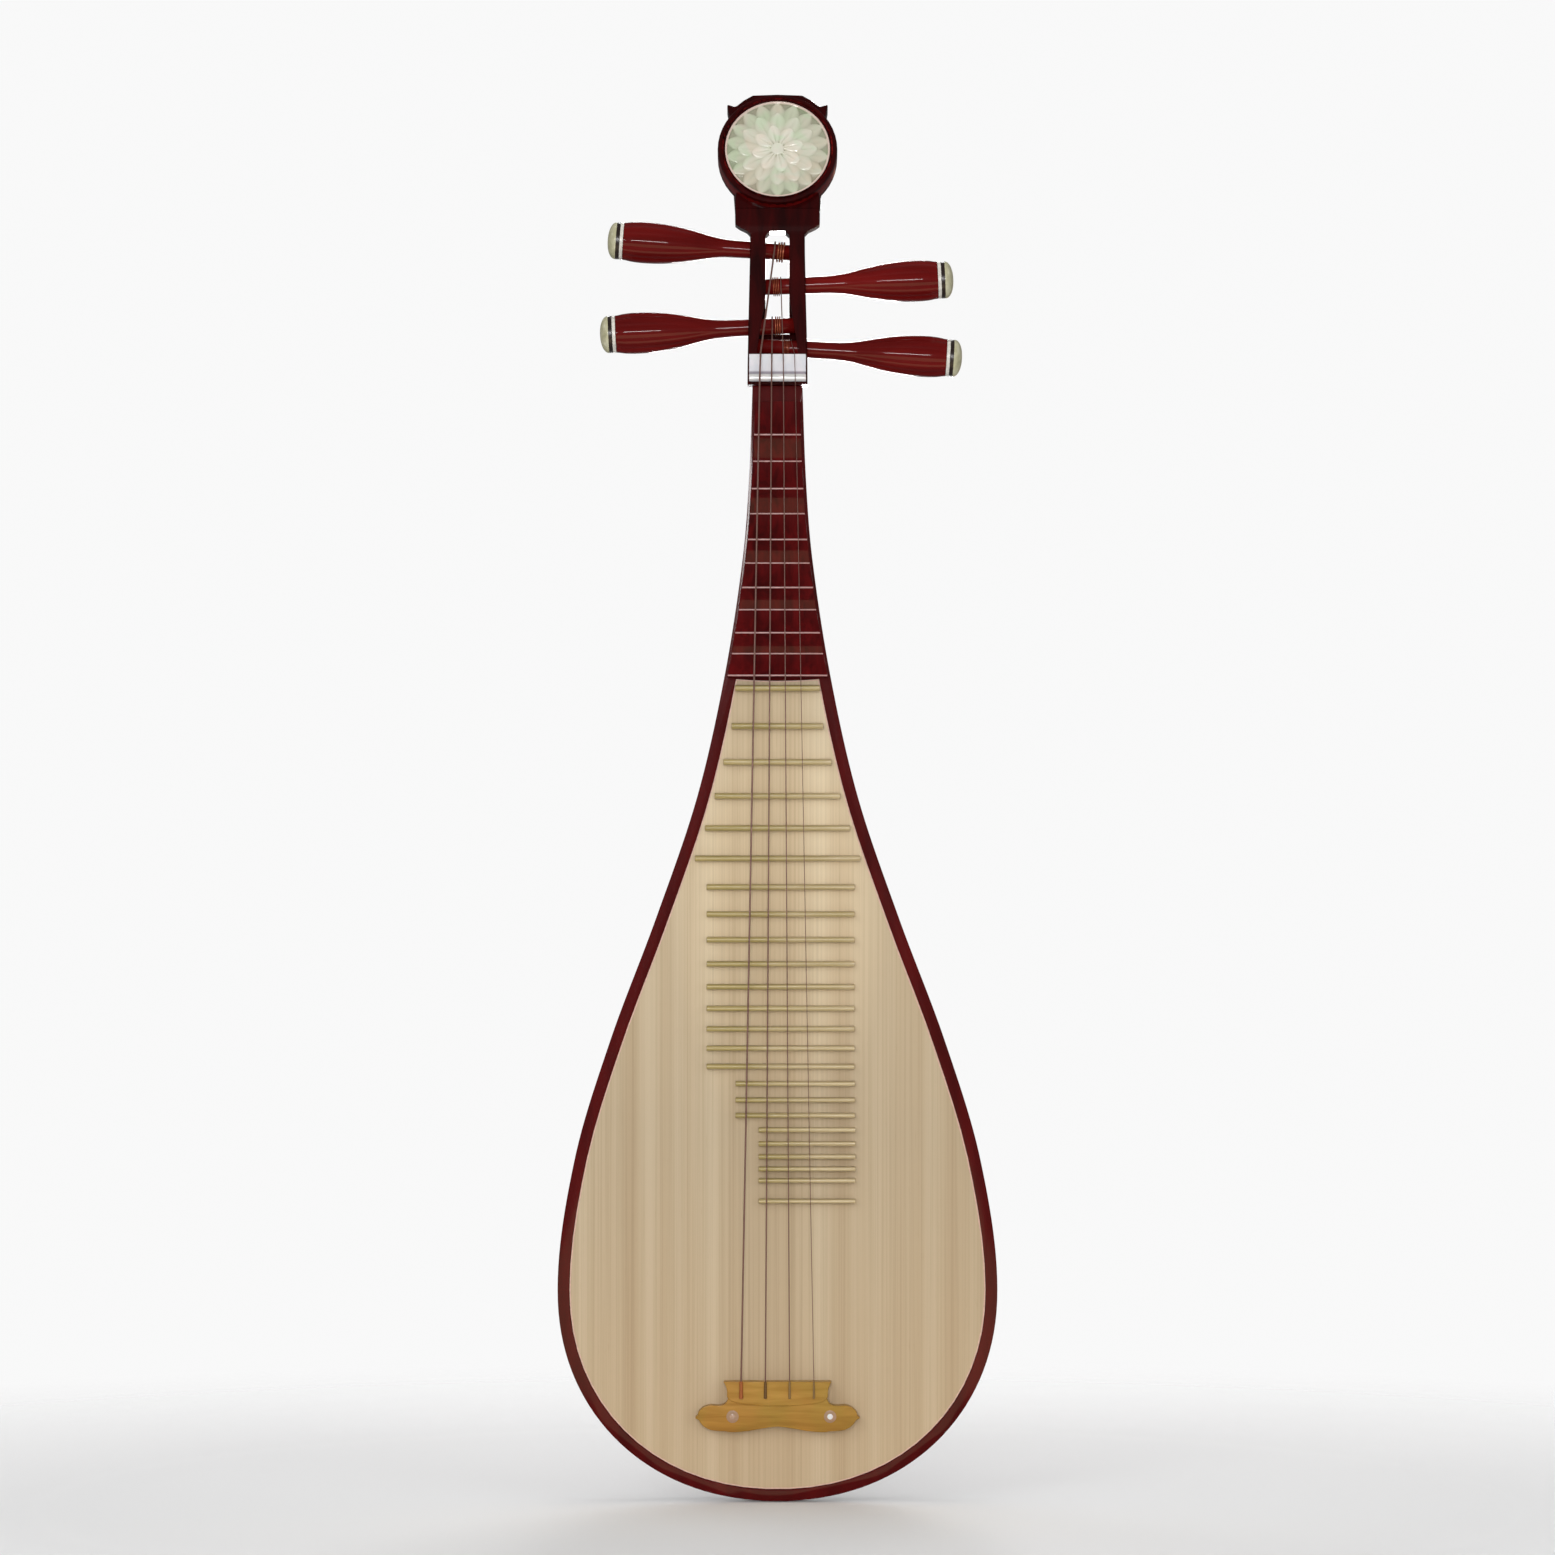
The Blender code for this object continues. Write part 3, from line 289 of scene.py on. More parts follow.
def patternPlace(tree, scale, turn=(0, 0, 0), shift=(0, 0, 0)):
    place = addNode(tree, "TexCoord")
    mapping = addNode(tree, "Mapping", {"Scale": scale, "Rotation": turn, "Location": shift})
    tree.links.new(place.outputs["Object"], mapping.inputs["Vector"])
    return mapping.outputs["Vector"]


def noiseValue(tree, scale, detail=3.0, distortion=0.0, roughness=0.5):
    noise = addNode(tree, "TexNoise", {"Scale": 1.0, "Detail": detail, "Distortion": distortion,
                                       "Roughness": roughness})
    tree.links.new(patternPlace(tree, scale), noise.inputs["Vector"])
    return noise.outputs["Fac"]


def roundGlow(tree, scale, shift=(0, 0, 0)):
    # 1 at the pattern's middle, down to 0 a unit away
    glow = addNode(tree, "TexGradient", gradient_type="SPHERICAL")
    tree.links.new(patternPlace(tree, scale, shift=shift), glow.inputs["Vector"])
    return glow.outputs["Fac"]


def axisParts(tree, vector):
    parts = addNode(tree, "SeparateXYZ")
    tree.links.new(vector, parts.inputs["Vector"])
    return parts.outputs


def mapRange(tree, value, kind, low, high):
    # "From" gives the share of the way from low to high, "To" turns such a share into a value
    mapped = addNode(tree, "MapRange", {kind + " Min": low, kind + " Max": high})
    tree.links.new(value, mapped.inputs["Value"])
    return mapped.outputs["Result"]


def colorRamp(tree, factor, stops):
    ramp = addNode(tree, "ValToRGB")
    points = ramp.color_ramp.elements
    while len(points) < len(stops):
        points.new(0.5)
    for point, (place, color) in zip(points, stops):
        point.position = place
        point.color = (*color, 1.0)
    tree.links.new(factor, ramp.inputs["Fac"])
    return ramp.outputs["Color"]


def feed(tree, sockets, values):
    # each value is an output to link, a colour or a number
    for socket, value in zip(sockets, values):
        if isinstance(value, bpy.types.NodeSocket):
            tree.links.new(value, socket)
        elif isinstance(value, tuple):
            socket.default_value = (*value, 1.0)
        else:
            socket.default_value = value


def mixColors(tree, factor, first, second, blend="MIX"):
    mix = addNode(tree, "Mix", data_type="RGBA", blend_type=blend)
    # of the node's many sockets, those for the factor and the two colours
    feed(tree, (mix.inputs[0], mix.inputs[6], mix.inputs[7]), (factor, first, second))
    return mix.outputs[2]


def tinted(tree, color, tint, share=1.0):
    return mixColors(tree, share, color, tint, "MULTIPLY")


def mathValue(tree, operation, first, second):
    node = addNode(tree, "Math", operation=operation)
    feed(tree, node.inputs, (first, second))
    return node.outputs[0]


def mixShaders(tree, factor, first, second):
    mix = addNode(tree, "MixShader")
    feed(tree, mix.inputs, (factor, first, second))
    return mix.outputs[0]


def setGloss(shader, roughness, specular, coat=0.0, coatRoughness=0.05, metallic=0.0):
    shader.inputs["Roughness"].default_value = roughness
    shader.inputs["Specular IOR Level"].default_value = specular
    shader.inputs["Coat Weight"].default_value = coat
    shader.inputs["Coat Roughness"].default_value = coatRoughness
    shader.inputs["Metallic"].default_value = metallic


def finishLook(tree, shader, color, height, strength, distance=0.0002):
    tree.links.new(color, shader.inputs["Base Color"])
    bump = addNode(tree, "Bump", {"Strength": strength, "Distance": distance})
    tree.links.new(height, bump.inputs["Height"])
    tree.links.new(bump.outputs["Normal"], shader.inputs["Normal"])


lacquerLook = {
    "dark": (0.0400, 0.0006, 0.0006),
    "mid": (0.0900, 0.0008, 0.0008),
    "bright": (0.2500, 0.0028, 0.0012),
    "edge": (0.0300, 0.0008, 0.0008),
    "middle": (0.3300, 0.0040, 0.0016),
    # painted shade, multiplied in where the back turns round to the sides
    "side": (0.26, 0.30, 0.30),
    "rim": (0.0720, 0.0024, 0.0024),
    # how far back the rim's stain reaches, and where the back's is full
    "rimFront": 0.0022,
    "rimBack": 0.0050,
    "roughness": 0.45,
    "coat": 0.28,
    "coatRoughness": 0.10,
}


def bodyLacquer():
    material, tree, shader = startMaterial("bodyLacquer")
    look = lacquerLook
    clouds = noiseValue(tree, (13, 13, 5.0), detail=5.0, distortion=0.9, roughness=0.56)
    color = colorRamp(tree, clouds, ((0.34, look["dark"]), (0.47, look["mid"]), (0.62, look["bright"])))
    # the colour is brightest along the middle and darker out at the edges and the tail
    glow = roundGlow(tree, (5.0, 0.0, 2.2), (0.0, 0.0, -1.16))
    color = mixColors(tree, mapRange(tree, glow, "To", 0.10, 1.55), look["edge"], color)
    middle = roundGlow(tree, (19.0, 0.0, 3.4), (0.17, 0.0, -1.33))
    color = mixColors(tree, mapRange(tree, middle, "To", 0.0, 0.75), color, look["middle"])
    streaks = noiseValue(tree, (190, 190, 4), distortion=0.4)
    shade = colorRamp(tree, streaks, ((0.35, (0.66, 0.66, 0.66)), (0.65, (1.22, 1.22, 1.22))))
    color = tinted(tree, color, shade, 0.85)
    # painted shade: it is darker, too, where the back turns round to the sides
    shadeBySideFacing = axisParts(tree, addNode(tree, "TexCoord").outputs["Normal"])["Y"]
    color = tinted(tree, color, colorRamp(tree, shadeBySideFacing, ((0.62, look["side"]), (0.99, white))))
    # the front rim is stained evenly
    depth = axisParts(tree, patternPlace(tree, (1, 1, 1)))["Y"]
    behind = mapRange(tree, depth, "From", look["rimFront"], look["rimBack"])
    rimStops = ((0.32, scaled(look["rim"], 0.72)), (0.68, scaled(look["rim"], 1.25)))
    rimColor = colorRamp(tree, noiseValue(tree, (60, 60, 14), detail=4.0), rimStops)
    color = mixColors(tree, behind, rimColor, color)
    setGloss(shader, look["roughness"], 0.03, look["coat"], look["coatRoughness"])
    finishLook(tree, shader, color, noiseValue(tree, (22, 22, 7), detail=2.0), 0.10, 0.0005)
    return material


def woodLacquer(name, dark, bright, scale, coat, coatRoughness=0.06):
    material, tree, shader = startMaterial(name)
    grain = noiseValue(tree, scale, detail=4.0, distortion=0.6)
    color = colorRamp(tree, grain, ((0.30, dark), (0.72, bright)))
    patches = noiseValue(tree, scaled(scale, 0.22), detail=2.0)
    shade = colorRamp(tree, patches, ((0.36, (0.70, 0.68, 0.68)), (0.62, (1.10, 1.10, 1.10))))
    setGloss(shader, 0.45, 0.03, coat, coatRoughness)
    pores = noiseValue(tree, scaled(scale, 6), detail=2.0)
    finishLook(tree, shader, tinted(tree, color, shade, 0.9), pores, 0.06)
    return material


boardLook = {
    "bands": ((0.28, (0.470, 0.350, 0.215)), (0.50, (0.545, 0.425, 0.278)), (0.74, (0.605, 0.490, 0.335))),
    # what the bands are multiplied by, from the tail upwards
    "upward": ((0.05, (0.96, 0.92, 0.87)), (0.45, (0.91, 0.91, 0.90)), (0.80, (1.05, 1.06, 1.05))),
    # painted light that lifts the frets' shadows on the board
    "paintedLightBetweenFrets": (1.20, 1.21, 1.21),
    "line": (0.86, 0.84, 0.80),
    "fleck": (0.90, 0.88, 0.84),
}


def boardWood():
    material, tree, shader = startMaterial("boardWood")
    look = boardLook
    bands = noiseValue(tree, (52, 1, 0.5), detail=1.5, roughness=0.4)
    color = colorRamp(tree, bands, look["bands"])
    tall = axisParts(tree, patternPlace(tree, (1, 1, 1.7)))["Z"]
    color = tinted(tree, color, colorRamp(tree, tall, look["upward"]))
    # painted light: the board between the frets is brightened against the frets' shadows
    fretGapLight = roundGlow(tree, (13.0, 0.0, 5.9), (-0.03, 0.0, -2.48))
    color = tinted(tree, color, colorRamp(tree, fretGapLight, ((0.0, white), (0.35, look["paintedLightBetweenFrets"]))))
    lines = noiseValue(tree, (620, 1, 2.2), distortion=0.25, roughness=0.6)
    fine = colorRamp(tree, lines, ((0.32, look["line"]), (0.56, (1.03, 1.03, 1.03))))
    color = tinted(tree, color, fine, 0.75)
    flecks = noiseValue(tree, (900, 1, 60), detail=2.0)
    color = tinted(tree, color, colorRamp(tree, flecks, ((0.24, look["fleck"]), (0.36, white))), 0.6)
    setGloss(shader, 0.55, 0.25)
    finishLook(tree, shader, color, lines, 0.18)
    return material


def paleWood(name, dark, bright, scale, roughness):
    material, tree, shader = startMaterial(name)
    grain = noiseValue(tree, scale, distortion=0.3)
    color = colorRamp(tree, grain, ((0.30, dark), (0.70, bright)))
    setGloss(shader, roughness, 0.3, 0.15, 0.2)
    finishLook(tree, shader, color, grain, 0.15)
    return material


def bambooLook():
    # olive skin towards the left, tan towards the right, fibres along the fret
    material, tree, shader = startMaterial("bambooFret")
    fibres = noiseValue(tree, (9, 60, 700), distortion=0.2)
    tan = colorRamp(tree, fibres, ((0.30, (0.42, 0.315, 0.160)), (0.70, (0.60, 0.475, 0.270))))
    olive = colorRamp(tree, fibres, ((0.30, (0.31, 0.238, 0.078)), (0.70, (0.46, 0.352, 0.138))))
    sideways = axisParts(tree, patternPlace(tree, (6, 1, 1)))["X"]
    drift = mathValue(tree, "ADD", sideways, noiseValue(tree, (16, 1, 11), detail=1.0))
    toTan = colorRamp(tree, drift, ((0.38, (0, 0, 0)), (0.72, white)))
    color = mixColors(tree, toTan, olive, tan)
    setGloss(shader, 0.36, 0.4, 0.2, 0.15)
    finishLook(tree, shader, color, fibres, 0.12)
    return material


def bridgeLook():
    material, tree, shader = startMaterial("bridgeWood")
    grain = noiseValue(tree, (26, 90, 240), detail=4.0, distortion=0.5)
    color = colorRamp(tree, grain, ((0.30, (0.310, 0.158, 0.020)), (0.70, (0.435, 0.240, 0.045))))
    # painted shade: towards the bottom edge, and so over the wings, the wood is darker and a deeper orange
    # than the block
    tall = axisParts(tree, patternPlace(tree, (1, 1, 25), shift=(0, 0, -1.30)))["Z"]
    color = tinted(tree, color, colorRamp(tree, tall, ((0.0, (0.84, 0.76, 0.50)), (0.45, white))))
    clouds = noiseValue(tree, (45, 45, 45), detail=2.0)
    tint = colorRamp(tree, clouds, ((0.35, (0.92, 1.02, 0.90)), (0.65, (1.06, 0.97, 0.98))))
    setGloss(shader, 0.42, 0.20, 0.1, 0.15)
    finishLook(tree, shader, tinted(tree, color, tint, 0.8), grain, 0.12)
    return material


def boneLook(name, base, tintA, tintB, scale, roughness=0.28, coat=0.3):
    material, tree, shader = startMaterial(name)
    clouds = noiseValue(tree, (scale, scale, scale), distortion=0.8)
    color = colorRamp(tree, clouds, ((0.32, tintA), (0.50, base), (0.70, tintB)))
    veins = noiseValue(tree, (scale * 6, scale * 6, scale * 1.5))
    fine = colorRamp(tree, veins, ((0.30, (0.93, 0.93, 0.91)), (0.60, (1.02, 1.02, 1.02))))
    setGloss(shader, roughness, 0.4, coat, 0.08)
    finishLook(tree, shader, tinted(tree, color, fine, 0.7), veins, 0.05)
    return material


nutColors = {
    # share of the way from low to high, and what the bone's colour is multiplied by there:
    # painted shadow along the bottom edge, crest, painted shade in the seam above it, plate, top edge
    "low": 0.7975,
    "high": 0.8175,
    "bands": ((0.00, (0.52, 0.50, 0.50)), (0.07, (0.90, 0.89, 0.84)), (0.24, (0.90, 0.89, 0.84)),
              (0.29, (0.42, 0.39, 0.42)), (0.34, (0.44, 0.40, 0.44)), (0.40, (0.98, 0.97, 0.99)),
              (0.90, (1.00, 1.01, 1.01)), (1.00, (1.06, 1.02, 1.00))),
}


def nutLook():
    material, tree, shader = startMaterial("nutBone")
    clouds = noiseValue(tree, (150, 150, 60), distortion=0.8)
    color = colorRamp(tree, clouds, ((0.32, (0.705, 0.715, 0.745)), (0.50, (0.760, 0.745, 0.760)),
                                     (0.70, (0.825, 0.780, 0.800))))
    tall = axisParts(tree, patternPlace(tree, (1, 1, 1)))["Z"]
    # the bands hold a painted shadow under the crest and painted shade in the seam above it
    share = mapRange(tree, tall, "From", nutColors["low"], nutColors["high"])
    color = tinted(tree, color, colorRamp(tree, share, nutColors["bands"]))
    setGloss(shader, 0.22, 0.4, 0.3, 0.08)
    finishLook(tree, shader, color, clouds, 0.05)
    return material


discLook = {
    # painted shade in the valleys, painted light on the crests
    "valleyShade": (0.370, 0.360, 0.265),
    "slope": (0.560, 0.550, 0.425),
    "crest": (0.720, 0.700, 0.585),
    "edge": (0.700, 0.540, 0.460),
    "green": (0.88, 1.03, 0.91),
    "pink": (1.05, 0.965, 0.95),
    # the pinkish line's start and full strength, as shares of the radius
    "lineStart": 0.955,
    "lineFull": 0.975,
}


def discStone(place, tilt, low, high, radius):
    # painted shade and light: colours darken into the carving's valleys and lighten on its crests, following
    # the depth measured square to the tilted disc
    material, tree, shader = startMaterial("discStone")
    look = discLook
    turn = math.radians(tilt - 90)
    sideways = place[1] * math.cos(turn) - place[2] * math.sin(turn)
    depth = place[1] * math.sin(turn) + place[2] * math.cos(turn)
    parts = axisParts(tree, patternPlace(tree, (1, 1, 1), turn=(turn, 0, 0), shift=(0, -sideways, -depth)))
    depthShade = mapRange(tree, parts["Z"], "From", low, high)
    color = colorRamp(tree, depthShade, ((0.10, look["valleyShade"]), (0.42, look["slope"]), (0.80, look["crest"])))
    clouds = noiseValue(tree, (55, 55, 55), detail=2.0, distortion=0.6)
    tint = colorRamp(tree, clouds, ((0.36, look["green"]), (0.50, white), (0.64, look["pink"])))
    color = tinted(tree, color, tint, 0.9)
    # a pinkish line runs round the disc's edge
    flat = addNode(tree, "CombineXYZ")
    feed(tree, flat.inputs, (parts["X"], parts["Y"]))
    reach = addNode(tree, "VectorMath", operation="LENGTH")
    tree.links.new(flat.outputs["Vector"], reach.inputs[0])
    start, full = radius * look["lineStart"], radius * look["lineFull"]
    line = mapRange(tree, reach.outputs["Value"], "From", start, full)
    color = mixColors(tree, line, color, look["edge"])
    setGloss(shader, 0.30, 0.4, 0.3, 0.08)
    finishLook(tree, shader, color, clouds, 0.05)
    return material


def plainLook(name, color, roughness, metallic=0.0, scale=400.0):
    material, tree, shader = startMaterial(name)
    grain = noiseValue(tree, (scale, scale, scale), detail=2.0)
    stops = ((0.3, scaled(color, 0.85)), (0.7, scaled(color, 1.12)))
    tree.links.new(colorRamp(tree, grain, stops), shader.inputs["Base Color"])
    setGloss(shader, roughness, 0.4, 0.0, 0.1, metallic)
    return material


lacquerBody = bodyLacquer()
lacquerNeck = woodLacquer("neckLacquer", (0.048, 0.0016, 0.0020), (0.120, 0.0036, 0.0042),
                          (160, 160, 7), 0.24)
lacquerPegbox = woodLacquer("pegboxLacquer", (0.017, 0.0005, 0.0006), (0.048, 0.0010, 0.0011),
                            (120, 120, 8), 0.26)
lacquerHead = woodLacquer("headLacquer", (0.070, 0.0018, 0.0018), (0.160, 0.0045, 0.0040),
                          (90, 90, 14), 0.26)
lacquerPeg = woodLacquer("pegLacquer", (0.096, 0.0024, 0.0022), (0.150, 0.0050, 0.0042),
                         (8, 110, 110), 0.34, 0.05)
woodBoard = boardWood()
woodInner = paleWood("innerWood", (0.42, 0.30, 0.19), (0.60, 0.46, 0.31), (300, 300, 8), 0.7)
woodBamboo = bambooLook()
woodBridge = bridgeLook()
bonePlate = boneLook("plateBone", (0.640, 0.585, 0.455), (0.592, 0.580, 0.440),
                     (0.682, 0.600, 0.485), 30.0)
boneNut = nutLook()
boneCap = boneLook("capBone", (0.500, 0.470, 0.300), (0.400, 0.385, 0.235),
                   (0.590, 0.565, 0.400), 120.0, 0.34, 0.06)
pearl = boneLook("pearlDot", (0.760, 0.760, 0.740), (0.680, 0.760, 0.740),
                 (0.800, 0.720, 0.720), 400.0, 0.15)
pearlFaint = boneLook("pearlFaint", (0.420, 0.270, 0.180), (0.370, 0.250, 0.160),
                      (0.480, 0.300, 0.240), 400.0, 0.3)
pearlGrey = boneLook("pearlGrey", (0.330, 0.195, 0.110), (0.290, 0.180, 0.110),
                     (0.370, 0.215, 0.150), 300.0, 0.3)
ringDark = plainLook("capRingDark", (0.022, 0.013, 0.011), 0.3)
ringPale = plainLook("capRingPale", (0.700, 0.670, 0.600), 0.3)
tipAndHighlightPale = plainLook("neckTipAndHighlight", (0.430, 0.230, 0.215), 0.35)
edgeHighlightPale = plainLook("boardEdgeHighlight", (0.640, 0.400, 0.310), 0.45)
stringSteel = plainLook("woundString", (0.190, 0.098, 0.078), 0.40, 0.40, 3000.0)
stringCopper = plainLook("windingCopper", (0.400, 0.105, 0.050), 0.35, 0.6, 3000.0)
threadOrange = plainLook("threadOrange", (0.330, 0.090, 0.016), 0.6, 0.0, 2500.0)
threadOlive = plainLook("threadOlive", (0.130, 0.062, 0.014), 0.6, 0.0, 2500.0)
threadTan = plainLook("threadTan", (0.220, 0.130, 0.042), 0.6, 0.0, 2500.0)
print("materials made")


# Body and rim, following the outline of the back shell

bodyShape = {
    "halfWidth": cadHigh.x,
    "widestHeight": 0.1504,
    "neckEnd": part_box("back_shell")[1].z,
    "neckHalfWidth": 0.0178,
    "depth": 0.052,
    "deepestHeight": 0.215,
    "neckDepth": 0.027,
    "rimSide": 0.008,
    "tailRoundness": 2.12,
    "depthRoundness": 2.4,
    # share of the way up from the widest point, and share of the extra width left there
    "belly": ((0.0, 1.0), (0.144, 0.913), (0.277, 0.728), (0.41, 0.497), (0.543, 0.287),
              (0.676, 0.146), (0.808, 0.051), (0.897, 0.018), (1.0, 0.0)),
    "sectionPoints": 128,
    # half width of the first ring, height its depth is taken at, angle the tail's rings start from
    "tailRadius": 0.006,
    "tailRise": 0.0004,
    "tailStart": 2.2,
    "tailRings": 34,
    "upperRings": 80,
    "recessGap": 0.0003,
    "edgeRound": 0.0009,
}


def halfWidthAt(height):
    shape = bodyShape
    if height < shape["widestHeight"]:
        drop = (shape["widestHeight"] - height) / shape["widestHeight"]
        power = shape["tailRoundness"]
        return shape["halfWidth"] * max(1 - drop ** power, 0) ** (1 / power)
    share = min((height - shape["widestHeight"]) / (shape["neckEnd"] - shape["widestHeight"]), 1.0)
    extra = shape["halfWidth"] - shape["neckHalfWidth"]
    return shape["neckHalfWidth"] + extra * curveValue(shape["belly"], share)


def depthAt(height):
    shape = bodyShape
    if height < shape["deepestHeight"]:
        drop = (shape["deepestHeight"] - height) / shape["deepestHeight"]
        power = shape["depthRoundness"]
        extra = shape["depth"] - shape["rimSide"]
        return shape["rimSide"] + extra * max(1 - drop ** power, 0) ** (1 / power)
    share = min((height - shape["deepestHeight"]) / (shape["neckEnd"] - shape["deepestHeight"]), 1.0)
    return shape["neckDepth"] + (shape["depth"] - shape["neckDepth"]) * (1 + math.cos(math.pi * share)) / 2


def makeBody():
    shape = bodyShape
    rim = shape["rimSide"]
    tail = []
    for angle in spread(math.radians(shape["tailStart"]), math.pi / 2, shape["tailRings"]):
        tail.append(shape["widestHeight"] * (1 - math.cos(angle) ** (2 / shape["tailRoundness"])))
    heights = tail + spread(shape["widestHeight"], shape["neckEnd"], shape["upperRings"])[1:]
    wide = shape["tailRadius"]
    deep = depthAt(shape["tailRise"])

    body = startCircle("soundBody", shape["sectionPoints"], wide)
    editWhole(body)
    selectPoints(body, lambda point: point.co.y < sameSpot)  # the flat front of the section
    resizeAbout((0, 0, 0), (1, 0, 1))
    selectPoints(body, lambda point: point.co.y > sameSpot)  # the round back starts behind the rim
    resizeAbout((0, 0, 0), (1, (deep - rim) / wide, 1))
    bpy.ops.transform.translate(value=(0, rim, 0))
    selectAll()
    height = 0.0
    for nextHeight in heights[1:]:
        nextWide = halfWidthAt(nextHeight)
        nextDeep = depthAt(nextHeight)
        extrudeBy(0, 0, nextHeight - height)
        resizeAbout((0, 0, nextHeight), (nextWide / wide, 1, 1))
        selectPoints(body, lambda point: point.co.z > nextHeight - sameSpot and point.co.y > rim * 0.99)
        stretch = (nextDeep - rim) / (deep - rim)
        resizeAbout((0, rim, nextHeight), (1, stretch, 1))
        selectPoints(body, lambda point: point.co.z > nextHeight - sameSpot)
        height, wide, deep = nextHeight, nextWide, nextDeep
    selectAll()
    bpy.ops.mesh.remove_doubles(threshold=sameSpot)
    bpy.ops.mesh.normals_make_consistent(inside=False)
    leaveEdit()

    # the rim is what the board's recess leaves
    seat = copyOfNode("soundboard", "boardSeat")
    joinFlatFaces(seat)
    low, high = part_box("soundboard")
    middle = (low + high) / 2
    reach = (high - low) / 2
    grow = shape["recessGap"]
    scale = ((reach.x + grow) / reach.x, 1, (reach.z + grow) / reach.z)
    editWhole(seat)
    resizeAbout(middle, scale)
    resizeAbout((0, high.y + grow, 0), (1, 2.0, 1))
    bpy.ops.transform.translate(value=(0, grow, 0))
    leaveEdit()
    applyModifier(body, "BOOLEAN", object=seat, operation="DIFFERENCE", solver="EXACT")
    bpy.data.objects.remove(seat, do_unlink=True)
    startEdit(body)
    bpy.ops.mesh.select_mode(type="FACE")
    selectFaces(body, lambda face: abs(face.normal.y) > 0.999)
    bpy.ops.mesh.dissolve_limited(angle_limit=math.radians(0.5))
    bpy.ops.mesh.select_mode(type="VERT")
    leaveEdit()
    roundEdges(body, shape["edgeRound"], 3, 50)
    closeAndSmooth(body, 40)
    finishPiece(body, lacquerBody, "root", "lacquer", "back_shell")


makeBody()
print("body made")


# Neck frets with their pale lines: bone tips on the crests, which also stand for their highlight, and painted
# highlights in the seams

neckFretSizes = {
    "count": 6,
    "edgeRound": 0.0003,
    "edgeAngle": 25,
    "smoothAngle": 30,
    "lineWidth": 0.0011,
    "lineProud": 0.00012,
    "lineDepth": 0.0005,
    "lineRound": 0.00015,
    "seamInset": 0.0006,
    "seamWidth": 0.00099,
}


# a pale strip laid on a neck fret: painted highlight in a seam, bone tip and painted highlight on a crest
def paleLine(name, half, front, height, width):
    sizes = neckFretSizes
    deselectAll()
    bpy.ops.mesh.primitive_cube_add(size=1, location=(0, front, height))
    line = bpy.context.object
    line.name = name
    line.scale = (2 * half, sizes["lineDepth"], width)
    bpy.ops.object.transform_apply()
    roundEdges(line, sizes["lineRound"], 2)
    closeAndSmooth(line, 40)
    finishPiece(line, tipAndHighlightPale, "root", "nut_bone")


def makeNeckFrets():
    sizes = neckFretSizes
    for number in range(1, sizes["count"] + 1):
        nodeName = "neck_fret_" + str(number)
        roundedCopy(nodeName, "neckFret" + str(number), sizes, lacquerNeck, "lacquer")
        low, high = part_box(nodeName)
        points = [point.co for point in cadNodes[nodeName].data.vertices]
        # the crest is the foremost stretch of the node
        crest = [point for point in points if point.y < low.y + nearFace]
        # the pale strip on the crest is a bone tip that also stands for the crest's painted highlight
        paleLine("neckCrestTipAndHighlight" + str(number), max(point.x for point in crest),
                 low.y - sizes["lineProud"] + sizes["lineDepth"] / 2,
                 sum(point.z for point in crest) / len(crest), sizes["lineWidth"])
        if number > 1:
            # and the seam is where its top meets the fret above; the pale strip there is a painted highlight
            top = [point for point in points if point.z > high.z - nearFace]
            paleLine("neckSeamHighlight" + str(number), max(point.x for point in top) - sizes["seamInset"],
                     min(point.y for point in top), high.z, sizes["seamWidth"])


makeNeckFrets()
print("neck frets made")


# Bamboo frets on the board

boardFretSizes = {"count": 24, "edgeRound": 0.0004, "edgeAngle": 25, "smoothAngle": 50}


def makeBoardFrets():
    for number in range(1, boardFretSizes["count"] + 1):
        digits = str(number).zfill(2)
        roundedCopy("board_fret_" + digits, "bambooFret" + digits, boardFretSizes, woodBamboo, "bamboo")


makeBoardFrets()
print("bamboo frets made")


# Board edge line, a painted highlight on the board's edge

boardEdgeHighlightSizes = {
    "width": 0.0009,
    "proud": 0.00012,
    "depth": 0.0005,
    # half width, bottom and top of a box that holds the sound hole, which gets no line
    "soundHole": (0.05, 0.03, 0.12),
}


def makeBoardLine():
    # the board's front face, inset, and all but the outer ring taken away
    sizes = boardEdgeHighlightSizes
    half, bottom, top = sizes["soundHole"]

    def roundHole(face):
        middle = face.calc_center_median()
        return abs(middle.x) < half and bottom < middle.z < top

    # painted highlight: a pale ring where the board's chamfered edge catches the light
    line = copyOfNode("soundboard", "boardEdgeHighlight")
    joinFlatFaces(line)
    startEdit(line)
    bpy.ops.mesh.select_mode(type="FACE")
    selectFaces(line, lambda face: face.normal.y > -0.99)
    bpy.ops.mesh.delete(type="FACE")
    selectAll()
    bpy.ops.mesh.inset(thickness=sizes["width"], use_boundary=True, use_even_offset=True)
    bpy.ops.mesh.delete(type="FACE")
    selectFaces(line, roundHole)
    bpy.ops.mesh.delete(type="FACE")
    selectAll()
    bpy.ops.transform.translate(value=(0, -sizes["proud"], 0))
    extrudeBy(0, sizes["depth"], 0)
    bpy.ops.mesh.select_mode(type="VERT")
    leaveEdit()
    closeAndSmooth(line, 30)
    finishPiece(line, edgeHighlightPale, "root", "soundboard_wood")


makeBoardLine()
print("board edge line made")


# Bridge with its two dots and the thread round the string ends

